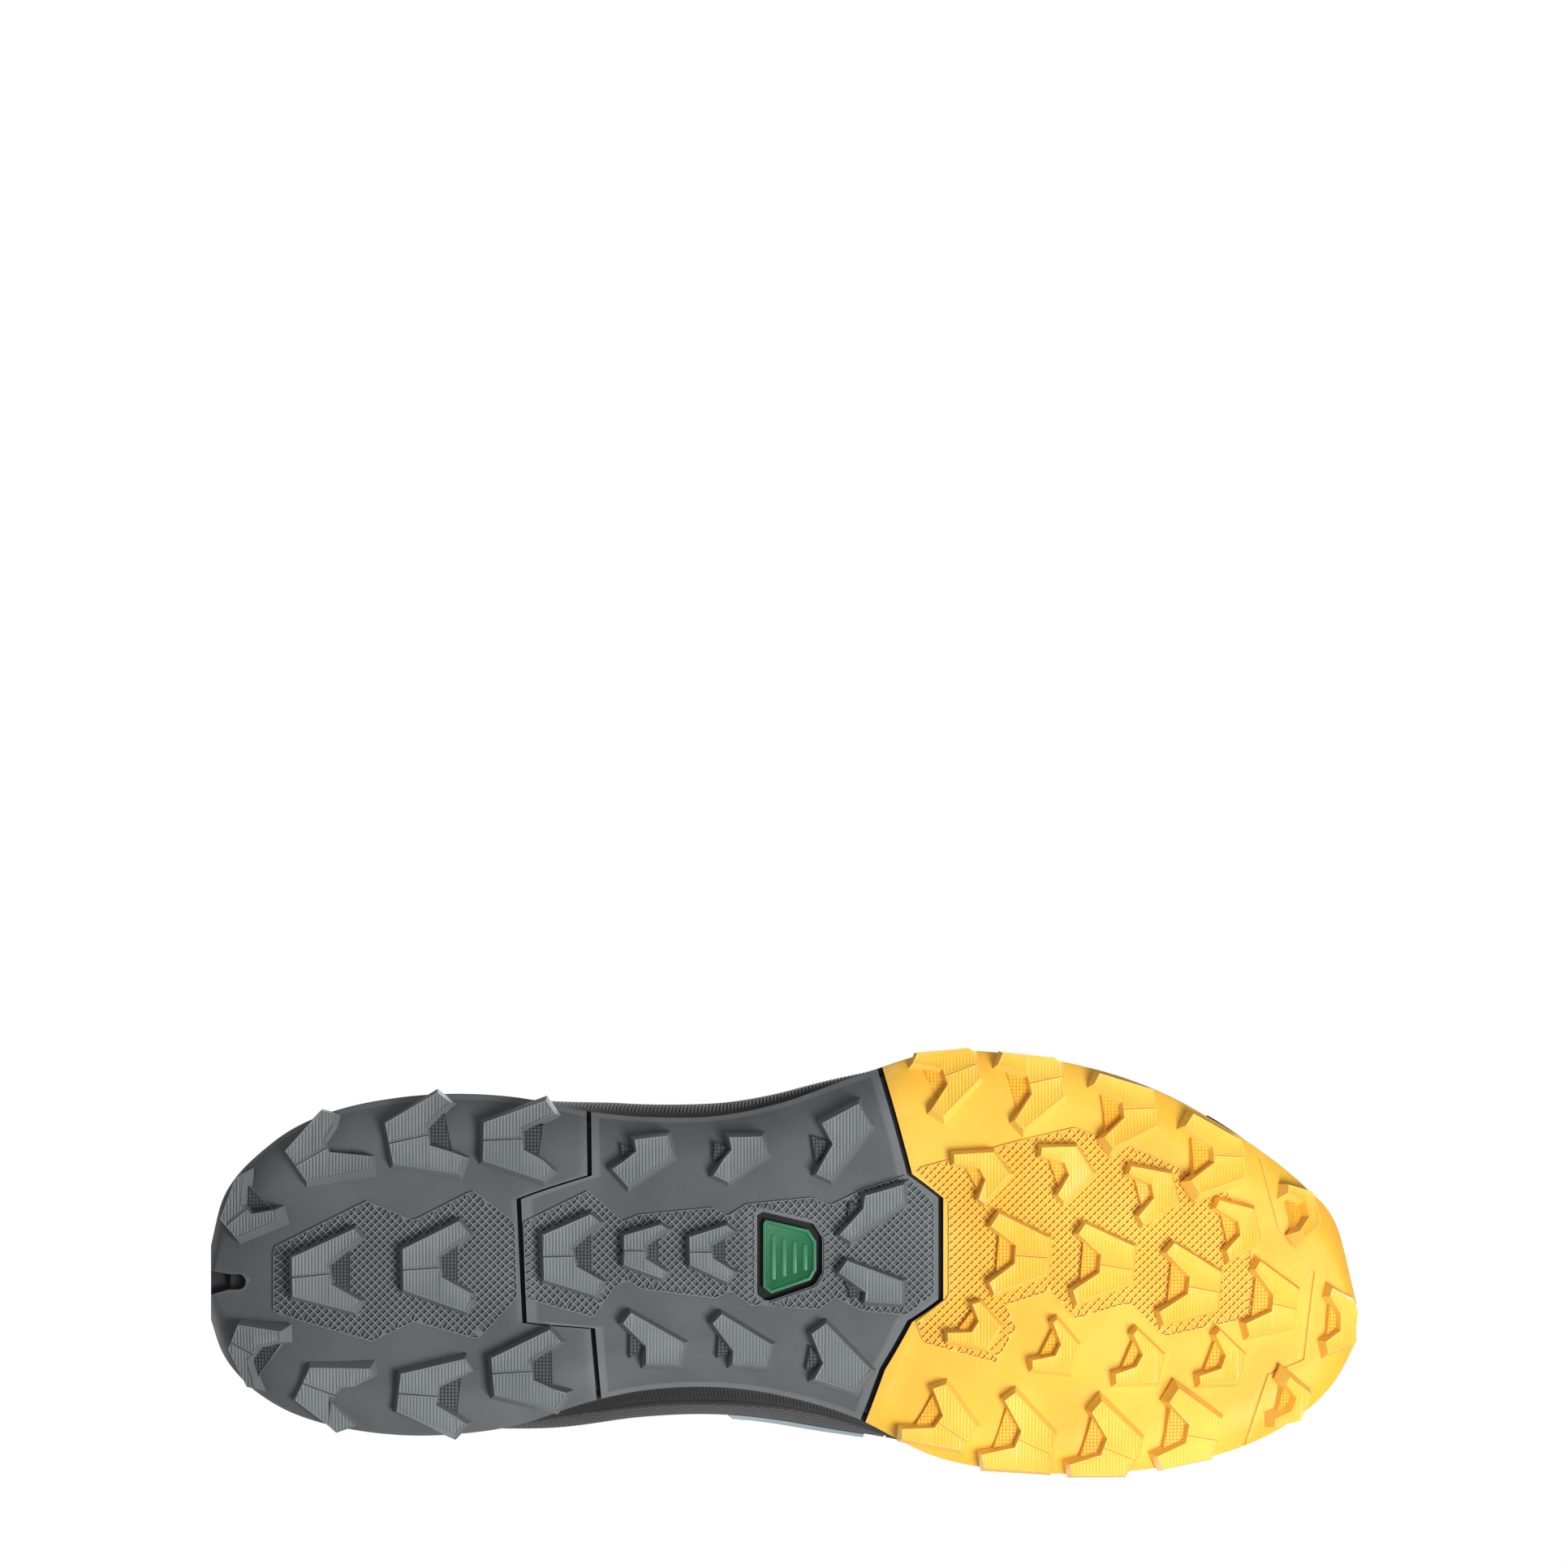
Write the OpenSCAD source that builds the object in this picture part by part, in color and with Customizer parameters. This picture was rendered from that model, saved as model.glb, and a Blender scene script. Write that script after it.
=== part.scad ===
// Right-foot trail running shoe: three-part lugged outsole, foam midsole, stitched
// and bonded upper, padded tongue and collar, cord lacing and a heel pull loop.
// +X points to the toe, +Y to the inner (medial) side of the foot, +Z up.
// The origin is under the middle of the shoe, on the ground that the lugs stand on.

/* [Sole] */
// Height of the lugs below the rubber base
lug_h = 4; // [3:0.5:5]
// Thickness of the rubber base that carries the lugs
base_t = 1.8; // [1.5:0.1:2.5]
// Rise of the toe end above the ground
toe_spring = 13; // [8:1:16]
// Rise of the heel end above the ground
heel_rise = 7; // [4:1:9]
// Rise of the rolled side edges
edge_roll = 4; // [2:0.5:5]
// Width of the rolled band along the side edges
roll_w = 12; // [8:1:16]
// Width of the open joint between the rear and front sole halves
flex_gap = 1.3; // [1.1:0.1:2]

/* [Upper] */
// Thickness of the outer textile
skin_t = 1.4; // [1:0.1:1.8]
// Thickness of the bonded overlays
overlay_t = 1.0; // [0.6:0.1:1.2]
// Thickness of the collar padding
collar_t = 6; // [4:0.5:7]
// Thickness of the tongue
tongue_t = 5; // [4:0.5:6]
// Diameter of the lace cord
lace_d = 2.6; // [2:0.1:3]

/* [Inside] */
// Thickness of the board sewn under the foot
board_t = 1.2; // [1:0.1:1.6]
// Thickness of the removable sockliner
liner_t = 4; // [3:0.5:5]

/* [Hidden] */

gap = 0.15;          // glue-line gap between bonded pieces
layer = 0.45;        // the same between curved layers of the upper
eps = 0.02;          // step of the numeric surface slopes
grey = "#616568";
yellow = "#f2bd42";

// ---------- curves ----------

function lerp(a, b, t) = a + (b - a) * t;
function unit(v) = v / norm(v);
function clamp01(t) = min(1, max(0, t));
function span(t, x, i = 0) = i >= len(t) - 2 || x < t[i + 1][0] ? i : span(t, x, i + 1);
function slope(t, i) = let(a = max(0, i - 1), b = min(len(t) - 1, i + 1))
    (t[b] - t[a]) / (t[b][0] - t[a][0]);

// Smooth value at x from rows that start with x
function curve(t, x) = let(i = span(t, x), h = t[i + 1][0] - t[i][0],
    u = clamp01((x - t[i][0]) / h), m0 = slope(t, i) * h, m1 = slope(t, i + 1) * h)
    t[i] * (2 * u^3 - 3 * u^2 + 1) + m0 * (u^3 - 2 * u^2 + u)
    + t[i + 1] * (3 * u^2 - 2 * u^3) + m1 * (u^3 - u^2);

// Straight-line value at x from rows of [x, value]
function ramp(t, x) = let(i = span(t, x))
    lerp(t[i][1], t[i + 1][1], clamp01((x - t[i][0]) / (t[i + 1][0] - t[i][0])));

// Point on a smooth path through points, s counts from 0 at the first one
function path_at(p, s) = let(n = len(p) - 1, i = min(n - 1, floor(s)), u = s - i,
    a = p[max(0, i - 1)], b = p[i], c = p[i + 1], d = p[min(n, i + 2)])
    0.5 * (2 * b + (c - a) * u + (2 * a - 5 * b + 4 * c - d) * u^2
    + (3 * b - a - 3 * c + d) * u^3);

// ---------- solids from grids of points ----------

// A solid between two grids of points; triangles without area are left out, and
// an end where the grid folds shut on itself gets no wall
module between(top, bottom, shut_end = false) {
    nr = len(top);
    nc = len(top[0]);
    n = nr * nc;
    pts = concat([for (r = top) each r], [for (r = bottom) each r]);
    quads = concat(
        [for (i = [0:nr - 2], j = [0:nc - 2])
            [i * nc + j, i * nc + j + 1, (i + 1) * nc + j + 1, (i + 1) * nc + j]],
        [for (i = [0:nr - 2], j = [0:nc - 2])
            [n + i * nc + j, n + (i + 1) * nc + j, n + (i + 1) * nc + j + 1, n + i * nc + j + 1]],
        [for (i = [0:nr - 2])
            [i * nc, (i + 1) * nc, n + (i + 1) * nc, n + i * nc]],
        [for (i = [0:nr - 2])
            [(i + 1) * nc + nc - 1, i * nc + nc - 1, n + i * nc + nc - 1, n + (i + 1) * nc + nc - 1]],
        [for (j = [0:nc - 2])
            [j + 1, j, n + j, n + j + 1]],
        shut_end ? [] : [for (j = [0:nc - 2], k = (nr - 1) * nc)
            [k + j, k + j + 1, n + k + j + 1, n + k + j]]);
    tris = [for (q = quads) each [[q[0], q[1], q[2]], [q[0], q[2], q[3]]]];
    polyhedron(pts, [for (t = tris)
        if (norm(cross(pts[t[1]] - pts[t[0]], pts[t[2]] - pts[t[0]])) > 0.0001) t]);
}

// A round tube of diameter d along a list of points
module tube(p, d, sides = 8) {
    n = len(p);
    rings = [for (i = [0:n - 1])
        let(t = unit(p[min(n - 1, i + 1)] - p[max(0, i - 1)]), a = unit(cross(t, [0, 0, 1])),
            b = cross(a, t))
        [for (k = [0:sides - 1])
            p[i] + (a * cos(360 * k / sides) + b * sin(360 * k / sides)) * d / 2]];
    polyhedron([for (r = rings) each r], concat(
        [for (i = [0:n - 2], k = [0:sides - 1]) each let(l = (k + 1) % sides,
            a = i * sides + k, b = i * sides + l, c = a + sides, e = b + sides)
            [[a, c, b], [b, c, e]]],
        [for (k = [1:sides - 2]) [0, k, k + 1]],
        [for (k = [1:sides - 2], m = (n - 1) * sides) [m, m + k + 1, m + k]]));
}

// ---------- sole shape ----------

// Edge of the rubber, as rows of [x, lateral y, medial y]
rubber_edge = [[-147, -4, 15], [-144.5, -14.5, 22.5], [-141, -21, 28], [-135, -27.3, 33.8],
    [-126, -34, 39], [-114, -39, 42.6], [-99, -42, 44.6], [-84, -43, 44.4], [-68, -42, 42],
    [-51, -38.6, 36.4], [-35, -37, 33], [-17, -37.3, 32.3], [0, -40.8, 34.6],
    [18, -47.3, 40], [38, -53.5, 49.8], [55, -53.6, 53.4], [75, -50.5, 54.6],
    [93, -45, 53.4], [108, -37.5, 50.6], [123, -28, 45.3], [135, -18, 37.6],
    [142, -9, 30], [147, 10.5, 20.5]];

// Top edge of the foam, as rows of [x, lateral y, medial y]
foam_edge = [[-145, 0, 10], [-141.5, -14, 21], [-137, -21, 28], [-129, -28.5, 34],
    [-118, -34.5, 38.8], [-103, -38.5, 42], [-86, -40.8, 43.4], [-66, -40.8, 41.5],
    [-48, -39.4, 38.8], [-30, -38.8, 37], [-12, -39.6, 37], [6, -42.8, 38.8],
    [22, -47.8, 43.4], [40, -52.4, 49.2], [58, -52.8, 52.6], [78, -49.8, 53.4],
    [96, -43.8, 52], [112, -35, 48], [127, -23.5, 40.8], [137, -12, 32], [145, 10, 18]];

// Height of the foam's top, as rows of [x, z]
foam_top = [[-147, 34], [-110, 32], [-60, 29.5], [0, 26], [40, 23.5], [90, 23.5],
    [120, 26], [147, 31]];

// Joint line between heel and midfoot rubber, as [share of the width, x]
heel_joint = [[0, -50], [0.22, -49.8], [0.31, -68], [0.69, -66.5], [0.75, -49], [1, -47.4]];
// Joint line between midfoot and forefoot rubber
flex_joint = [[0, 25.3], [0.3, 33], [0.36, 41], [0.61, 41], [0.68, 33], [0.83, 26], [1, 21]];

function rise(x, from, to, h) = let(t = clamp01((x - from) / (to - from))) h * t^2;
function roll(x, y) = let(e = curve(rubber_edge, x), d = min(y - e[1], e[2] - y))
    edge_roll * clamp01(1 - d / roll_w)^2;

// Underside of the rubber base, between the lugs
function base_z(x, y) = lug_h + rise(x, 55, 147, toe_spring)
    + rise(-x, 112, 147, heel_rise) + roll(x, y);
function base_normal(x, y) = unit([(base_z(x - 1, y) - base_z(x + 1, y)) / 2,
    (base_z(x, y - 1) - base_z(x, y + 1)) / 2, 1]);

shares = [0, 0.05, 0.12, 0.22, 0.26, 0.31, 0.36, 0.45, 0.53, 0.61, 0.68, 0.75, 0.83, 0.92, 1];

// Grid of points between the joint lines `rear` and `front`; `edge` is the side edge and
// z(x, y) the height. The spacing closes up towards an end of the shoe.
function ease(u, tip) = tip < 0 ? 1 - cos(90 * u) : tip > 0 ? sin(90 * u) : u;
function plan(rear, front, edge, rows, tip) = [for (i = [0:rows]) [for (w = shares)
    let(x = lerp(ramp(rear, w), ramp(front, w), ease(i / rows, tip)), e = curve(edge, x))
    [x, lerp(e[1], e[2], w)]]];
function lift(grid, dz) = [for (r = grid) [for (p = r) [p[0], p[1], base_z(p[0], p[1]) + dz]]];
function ends_at(x) = [[0, x], [1, x]];
function shifted(joint, dx) = [for (p = joint) [p[0], p[1] + dx]];

module rubber_base(rear, front, rows, tip) {
    g = plan(rear, front, rubber_edge, rows, tip);
    between(lift(g, base_t), lift(g, 0));
}

// A tread lug: the outline is its top's, drawn flat; the lug stands square on the base and
// is lifted where a tilted corner would dip below the ground
module lug(outline) {
    c = [for (k = [0, 1]) (min([for (p = outline) p[k]]) + max([for (p = outline) p[k]])) / 2];
    n = base_normal(c[0], c[1]);
    foot = c + lug_h * [n[0], n[1]];
    top_z = base_z(foot[0], foot[1]) - lug_h * n[2];
    up = max(0, -min([for (p = outline) top_z - ((p - c) * [n[0], n[1]]) / n[2]]));
    translate([foot[0], foot[1], base_z(foot[0], foot[1]) + up])
        rotate([0, acos(n[2]), atan2(n[1], n[0])])
            rotate([0, 0, -atan2(n[1], n[0])])
                translate([0, 0, -lug_h])
                    linear_extrude(lug_h + base_t / 2 - up)
                        polygon([for (p = outline) p - c]);
}

// ---------- tread pattern, one outline of [x, y] for each lug ----------

heel_lugs = [
    [[-145, -11], [-141, -21.4], [-139, -22.3], [-139.3, -14.4], [-136.6, -12], [-130, -13], [-129.3, -10.4], [-140.6, -5.8]],
    [[-128, -28.5], [-118.8, -38.8], [-115, -37.8], [-118, -30.7], [-116.7, -28], [-106, -26.8], [-105.8, -23.2], [-122.4, -20.3]],
    [[-102.3, -35.5], [-88.9, -43.4], [-85.6, -41], [-91.7, -34.6], [-91, -29.8], [-81.5, -26.6], [-83.3, -22.2], [-100.2, -25]],
    [[-77, -35.6], [-61, -41.3], [-58.8, -38], [-67.4, -33.8], [-67, -28.7], [-59, -23.3], [-61.7, -20.6], [-77.2, -25.8]],
    [[-126.3, -1], [-110.2, -8.3], [-108.5, -6], [-117, 1], [-116, 6], [-108.5, 10.3], [-110.2, 13.2], [-126, 9]],
    [[-97.8, -3], [-83.3, -10.3], [-80.6, -7], [-88.7, -1.2], [-88, 4], [-79.7, 9.7], [-81.6, 13], [-97.6, 7.4]],
    [[-140.2, 16.4], [-128.4, 17.7], [-128.4, 20.4], [-135, 22], [-138, 25.6], [-136, 33], [-138.3, 32.5], [-143, 23]],
    [[-121.5, 27], [-106, 27], [-105.4, 29.4], [-113.6, 32.3], [-116.3, 36], [-110, 42.5], [-115, 44.4], [-125.5, 36]],
    [[-98.3, 29], [-81.8, 25], [-79.7, 28], [-88.7, 32.3], [-89.3, 37], [-81.5, 42], [-84.5, 45], [-99.3, 38.6]],
    [[-75, 25], [-60, 17.6], [-57.3, 20.6], [-65, 25.6], [-64.4, 30.4], [-55.8, 33.8], [-58.5, 38], [-74.2, 34.4]]];

midfoot_lugs = [
    [[-38.3, -31.2], [-30, -32.2], [-28.2, -26.8], [-40, -19], [-44, -23.6], [-37.8, -28.2]],
    [[-14, -31.8], [-5.6, -32], [-4, -27.4], [-14.2, -20.3], [-18, -22], [-13.3, -28.6]],
    [[9.8, -35.4], [19.2, -40.4], [22.6, -34.7], [12, -20.7], [8.4, -22.4], [12.7, -30]],
    [[-39.2, 13.3], [-25.5, 21], [-26.8, 26.6], [-35.3, 26.4], [-35.3, 21.8], [-41.2, 16]],
    [[-16, 13.6], [-3, 21.4], [-4.5, 27], [-13, 26.4], [-13, 23], [-18.2, 16]],
    [[11, 16], [22.6, 28], [18.3, 33.5], [8, 30.2], [10.2, 26.2], [7.2, 18.7]],
    [[-62, -6.7], [-49.6, -12], [-47.2, -10], [-54.4, -3.4], [-53.3, 1.3], [-46.2, 5.3], [-48.5, 8.8], [-61.5, 4.8]],
    [[-41, -6.6], [-31.6, -9.4], [-30, -8.3], [-35.6, -4], [-35.6, -0.8], [-30, 2.7], [-31.4, 4.4], [-41, 1]],
    [[-24.2, -6.2], [-14.8, -9.2], [-13, -7.7], [-19, -4], [-18.2, -0.8], [-12.5, 2.8], [-14.6, 5.3], [-24, 1]],
    [[21, -16.8], [30.7, -19.6], [31, -14.7], [17, -5], [14.4, -6.8], [20.5, -13.5]],
    [[16.3, 0], [30.7, 5.2], [30.3, 11], [21, 10.4], [21, 8], [14.2, 3]]];

forefoot_lugs = [
    [[34.3, -53.6], [48.6, -54.2], [50.5, -47], [41, -37], [38, -38.7], [42.2, -45.4], [40.8, -49.6], [33.2, -51]],
    [[56.3, -53.6], [70.7, -51.5], [72.3, -42.5], [61.6, -33.6], [59.3, -36], [63.8, -43], [62.6, -47.8], [55, -50.5]],
    [[81.2, -48.3], [95, -44.3], [96.3, -35], [84.3, -28.8], [82.2, -31.7], [87.5, -37], [87, -41], [79.7, -45.5]],
    [[105.3, -38], [118.7, -29.5], [118.6, -21.5], [106.5, -17], [104.2, -20.5], [110.6, -25.3], [110.2, -29.6], [103.2, -34.8]],
    [[129.6, -19.7], [136.5, -18.2], [138.4, -9.7], [133.2, -6], [132, -7.5], [135, -11.6], [134, -15.5], [129.3, -17.5]],
    [[140.8, 6.8], [147, 10.6], [146.7, 21], [139.7, 23.6], [139, 20.7], [143, 17.8], [143, 13.4], [140.2, 9]],
    [[129.2, 29.3], [136, 34.5], [133.4, 41.6], [126.3, 42.8], [126, 40.5], [130.6, 38.7], [131.7, 35.3], [128.5, 31]],
    [[43.7, -27.4], [53.8, -28], [57.8, -22.4], [51.5, -14.8], [50, -16], [51.8, -21], [50.2, -24], [43.8, -25.2]],
    [[66.3, -29.2], [75, -29.4], [79.5, -22.5], [72, -15.4], [70.4, -17], [73.4, -22], [72, -25.4], [66, -27.2]],
    [[89.3, -24.4], [99.5, -22.5], [101.3, -15.2], [92.4, -9.5], [91.2, -11.6], [95, -16.2], [94.4, -19.8], [88.6, -22.5]],
    [[111.8, -15.6], [120.8, -13.4], [122.6, -5], [114.5, -0.3], [113.7, -2.8], [117.3, -6.7], [116.7, -10.3], [111, -13.7]],
    [[55.4, -12.3], [68, -6], [67.4, 3.3], [54, 8.3], [52.8, 5.5], [59.3, 0.6], [59.6, -4], [53.2, -9]],
    [[77.5, -9.6], [90, -3.8], [89.3, 5.3], [75.3, 11], [74.3, 7.5], [81, 3], [81.5, -1.7], [75.7, -7]],
    [[100.3, -4.6], [112.4, 2.8], [111.3, 12.2], [97.5, 16], [96.5, 13], [103.8, 8.4], [104.3, 4], [98.3, -2.2]],
    [[122.3, 0], [132.5, 7.3], [131.2, 16.7], [119.5, 19.2], [118.6, 16], [125.4, 13], [125.8, 8.7], [121, 2.2]],
    [[50.3, 10.5], [55.5, 16.5], [52.2, 22.5], [42.2, 20.5], [42, 18.4], [48.3, 18.2], [50, 15.4], [48.4, 11]],
    [[70.2, 15], [75.5, 21.3], [73.3, 28.7], [64, 27.6], [63.8, 25.5], [69.8, 24.3], [71.3, 21.3], [69.2, 15.8]],
    [[90.8, 17.6], [97.5, 24], [95.8, 31], [85.4, 31.3], [85.2, 29], [90.6, 27], [92.3, 24], [89.8, 18.8]],
    [[112, 17.8], [118.5, 24], [116.6, 31.3], [107, 31.5], [106.7, 29.5], [112.4, 27.6], [113.6, 24.2], [111, 19]],
    [[41.6, 31.6], [49.6, 42.5], [45.2, 48.5], [30.3, 45.7], [30.4, 43], [38.7, 42.8], [41, 39.7], [38.4, 32.7]],
    [[59.5, 33.7], [69.6, 44.5], [67.6, 54.2], [51.6, 53.2], [50.8, 49.7], [59.4, 48], [61, 43.7], [56.8, 35.7]],
    [[81.6, 35.8], [92, 45.7], [87.5, 55.2], [74.2, 55.2], [73.4, 52.3], [81.5, 50], [83, 45.6], [79, 38.7]],
    [[101.2, 32.5], [112.6, 40.7], [110.2, 51], [97.6, 53.4], [95.8, 50.2], [103.3, 46.8], [104.2, 42], [98.8, 36.2]]];

badge_outline = [[-4.8, -11], [6.6, -8.3], [8.6, -5.2], [8.6, 2.3], [7, 5], [-3.3, 8.6], [-5.5, 7], [-5.5, -10]];
badge_ring = 1.5;    // width of the dark frame around the badge
notch_w = 4;         // width of the slot in the heel's rear end
notch_x = -140;      // front end of that slot
notch_y = 5.3;

module outsole_heel() {
    color(grey) union() {
        difference() {
            rubber_base(ends_at(-147), shifted(heel_joint, -0.6), 16, -1);
            translate([notch_x, notch_y, 0]) {
                cylinder(d = notch_w, h = 40, $fn = 24);
                translate([-20, -notch_w / 2, 0]) cube([20, notch_w, 40]);
            }
        }
        for (o = heel_lugs) lug(o);
    }
}

module badge_window(grow, z0, h) {
    c = [1.5, -1];
    translate([c[0], c[1], z0])
        linear_extrude(h)
            polygon([for (p = badge_outline) (p - c) * (1 + grow / 8)]);
}

module outsole_midfoot() {
    color(grey) union() {
        difference() {
            rubber_base(shifted(heel_joint, 0.6), shifted(flex_joint, -flex_gap), 10, 0);
            badge_window(badge_ring, 0, 20);
        }
        for (o = midfoot_lugs) lug(o);
    }
}

module outsole_forefoot() {
    color(yellow) union() {
        rubber_base(flex_joint, ends_at(147), 16, 1);
        for (o = forefoot_lugs) lug(o);
    }
}

module outsole_badge() {
    color("#329b64") badge_window(-0.2, lug_h + 0.4, base_t - 0.4);
}

// ---------- foam ----------

function foam_grid(rear, front, rows, tip, top) = let(
    low = plan(rear, front, rubber_edge, rows, tip),
    high = plan(rear, front, foam_edge, rows, tip))
    top ? [for (r = high) [for (p = r) [p[0], p[1], curve(foam_top, p[0])[1]]]]
        : lift(low, base_t + gap);

module foam(rear, front, rows, tip) {
    between(foam_grid(rear, front, rows, tip, true), foam_grid(rear, front, rows, tip, false));
}

module midsole_rear() {
    color("#2b2b2b") foam(ends_at(-145), shifted(flex_joint, -flex_gap), 24, -1);
}

module midsole_forefoot() {
    color("#2b2b2b") foam(flex_joint, ends_at(145), 16, 1);
}

// ---------- upper ----------

// Stations around the foot from the heel to the toe on each side:
// [x and y of the lower edge, x, y and z of the upper edge, arch in degrees, bulge]
heel_station = [-142, 5, -136, 5, 100, 30, 2];
toe_station = [143, 14, 117, 10.5, 44, 90, 1];
lateral = [
    [-132, -23.5, -126, -13, 96, 35, 2], [-112, -34.5, -108, -24, 88, 40, 2],
    [-88, -38.5, -86, -28, 81, 40, 2], [-62, -38.8, -64, -28, 80, 40, 2.5],
    [-40, -37.8, -50, -24, 92, 50, 3], [-18, -38, -36, -19, 101, 60, 3],
    [5, -41, -8, -16, 90, 68, 3], [25, -47, 16, -13, 78, 72, 2.5],
    [42, -51, 38, -10, 67, 80, 2], [60, -51, 54, 2, 62, 90, 1.5],
    [85, -46.5, 76, 4.5, 56, 90, 1.5], [108, -36.5, 94, 6.5, 51.5, 90, 1],
    [127, -22, 106, 8, 48.5, 90, 1], [139, -4, 113, 9.5, 46, 90, 1]];
medial = [
    [-132, 30.5, -126, 22, 96, 35, 2], [-112, 38.5, -108, 31, 88, 40, 2.5],
    [-88, 41, -86, 34, 82, 40, 2.5], [-62, 38.8, -64, 31, 81, 40, 5.5],
    [-40, 36, -50, 26, 92, 50, 7.5], [-18, 35.5, -36, 20, 101, 60, 9],
    [5, 37, -8, 17, 90, 68, 9.5], [25, 43, 16, 15, 78, 72, 5.5],
    [42, 48.5, 38, 13, 67, 80, 2.5], [60, 51, 54, 2, 62, 90, 2],
    [85, 51.5, 76, 4.5, 56, 90, 1.5], [108, 47.5, 94, 6.5, 51.5, 90, 1],
    [127, 39, 106, 8, 48.5, 90, 1], [138.5, 28.5, 113, 9.5, 46, 90, 1]];
side_n = len(lateral) + 1;
ring = concat([heel_station], lateral, [toe_station], [for (i = [side_n - 2:-1:0]) medial[i]]);

// s is 0 at the heel, runs to side_n at the toe over the lateral side and to -side_n over
// the medial side; v is 0 at the foam and 1 at the upper edge
function station(s) = let(n = len(ring), i = floor(s), u = s - i,
    a = ring[(i - 1 + 2 * n) % n], b = ring[(i + 2 * n) % n],
    c = ring[(i + 1 + 2 * n) % n], d = ring[(i + 2 + 2 * n) % n])
    0.5 * (2 * b + (c - a) * u + (2 * a - 5 * b + 4 * c - d) * u^2
    + (3 * b - a - 3 * c + d) * u^3);
function skin_at(s, v) = let(r = station(s), low = [r[0], r[1]], high = [r[2], r[3]],
    z0 = curve(foam_top, r[0])[1] + gap, out = unit(low - high),
    xy = lerp(low, high, (1 - cos(v * r[5])) / (1 - cos(r[5]))) + out * r[6] * sin(180 * v))
    [xy[0], xy[1], lerp(z0, r[4], sin(v * r[5]) / sin(r[5]))];
function skin_normal(s, v) = let(w = min(0.95, max(eps, v)))
    unit(cross(skin_at(s + eps, w) - skin_at(s - eps, w), skin_at(s, w + eps) - skin_at(s, w - eps)));
function skin_off(s, v, d) = skin_at(s, v) + skin_normal(s, v) * d;

// A patch of the upper from d0 to d1 outside its surface, between s0 and s1 and between
// the heights low(s) and high(s) given as rows of [s, v]
module patch(s0, s1, low, high, d0, d1, cols, rows) {
    function sheet(d) = [for (j = [0:rows]) [for (i = [0:cols])
        let(s = lerp(s0, s1, i / cols)) skin_off(s, lerp(ramp(low, s), ramp(high, s), j / rows), d)]];
    between(sheet(d0), sheet(d1));
}
function level(v) = [[-side_n, v], [side_n, v]];

vamp_s = 8;          // station where the quarters end and the vamp starts
throat_s = 6;        // station of the top lace loops

module quarter_lateral() {
    color("#1f2022") patch(0.02, vamp_s, level(0), level(1), -skin_t, 0, 26, 8);
}

module quarter_medial() {
    color("#1f2022") patch(-vamp_s, -0.02, level(0), level(1), -skin_t, 0, 26, 8);
}

module vamp() {
    rows = 14;
    half = 8;
    s0 = vamp_s + 0.03;
    function arch(d) = [for (i = [0:rows]) let(s = lerp(s0, side_n, i / rows))
        concat([for (j = [0:half]) skin_off(s, j / half, d)],
            [for (j = [half:-1:0]) skin_off(-s, j / half, d)])];
    color("#1f2022") between(arch(0), arch(-skin_t), shut_end = true);
}

module toe_cap() {
    color("#2b2b2b") patch(12, 2 * side_n - 12, level(0.04),
        [[12, 0.2], [15, 0.55], [18, 0.2]], layer, layer + overlay_t, 20, 4);
}

module toe_puff() {
    color("#8a8a86") patch(12.4, 2 * side_n - 12.4, level(0.32),
        [[12.4, 0.4], [15, 0.66], [17.6, 0.4]], -skin_t - layer - 0.8, -skin_t - layer, 16, 3);
}

module side_band_lateral() {
    color("#96a5ac") patch(6, 7.7, level(0.03), [[6, 0.66], [7.7, 0.74]],
        layer, layer + overlay_t, 6, 6);
}

module side_band_medial() {
    color("#96a5ac") patch(-7.7, -6, level(0.03), [[-7.7, 0.74], [-6, 0.66]],
        layer, layer + overlay_t, 6, 6);
}

module heel_cap() {
    color("#2b2b2b") patch(-3, 3, level(0.03), [[-3, 0.1], [0, 0.55], [3, 0.1]],
        layer, layer + overlay_t, 26, 4);
}

module heel_counter() {
    color("#8a8a86") patch(-3.4, 3.4, level(0.16), [[-3.4, 0.3], [0, 0.52], [3.4, 0.3]],
        -skin_t - layer - 1.2, -skin_t - layer, 26, 4);
}

module collar_lining() {
    color("#3a3d40") patch(-4.6, 4.6, level(0.56), level(1),
        -skin_t - layer - collar_t, -skin_t - layer, 32, 4);
}

module eyestay(side) {
    s0 = throat_s - 0.5;
    s1 = 9.6;
    low = [[-s1, 0.76], [-s0, 0.8], [s0, 0.8], [s1, 0.76]];
    patch(side > 0 ? s0 : -s1, side > 0 ? s1 : -s0, low, level(1), layer, layer + overlay_t, 12, 3);
}

module eyestay_lateral() {
    color("#26282a") eyestay(1);
}

module eyestay_medial() {
    color("#26282a") eyestay(-1);
}

// ---------- inside the shoe ----------

// A sheet under the foot: `inset` in from the foam's side edges, twice as far and more at
// the ends, from z0 to z1 above the foam
footbed_rows = 32;
end_inset = 4;
function footbed_x(u, inset) = let(reach = 145 - inset - end_inset) -reach * cos(180 * u);
function footbed_sheet(inset, z) = [for (i = [0:footbed_rows])
    let(x = footbed_x(i / footbed_rows, inset), e = curve(foam_edge, x),
        mid = (e[1] + e[2]) / 2, half = (e[2] - e[1]) / 2 - inset * (1 + abs(x / 145)^6))
    [for (w = [-1:0.125:1]) [x, mid + w * half, curve(foam_top, x)[1] + z]]];
module footbed(inset, z0, z1) {
    between(footbed_sheet(inset, z1), footbed_sheet(inset, z0));
}

module strobel_board() {
    color("#b9b5aa") footbed(3.6, gap, gap + board_t);
}

module sockliner() {
    color("#55595c") footbed(4.6, 2 * gap + board_t, 2 * gap + board_t + liner_t);
}

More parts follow.
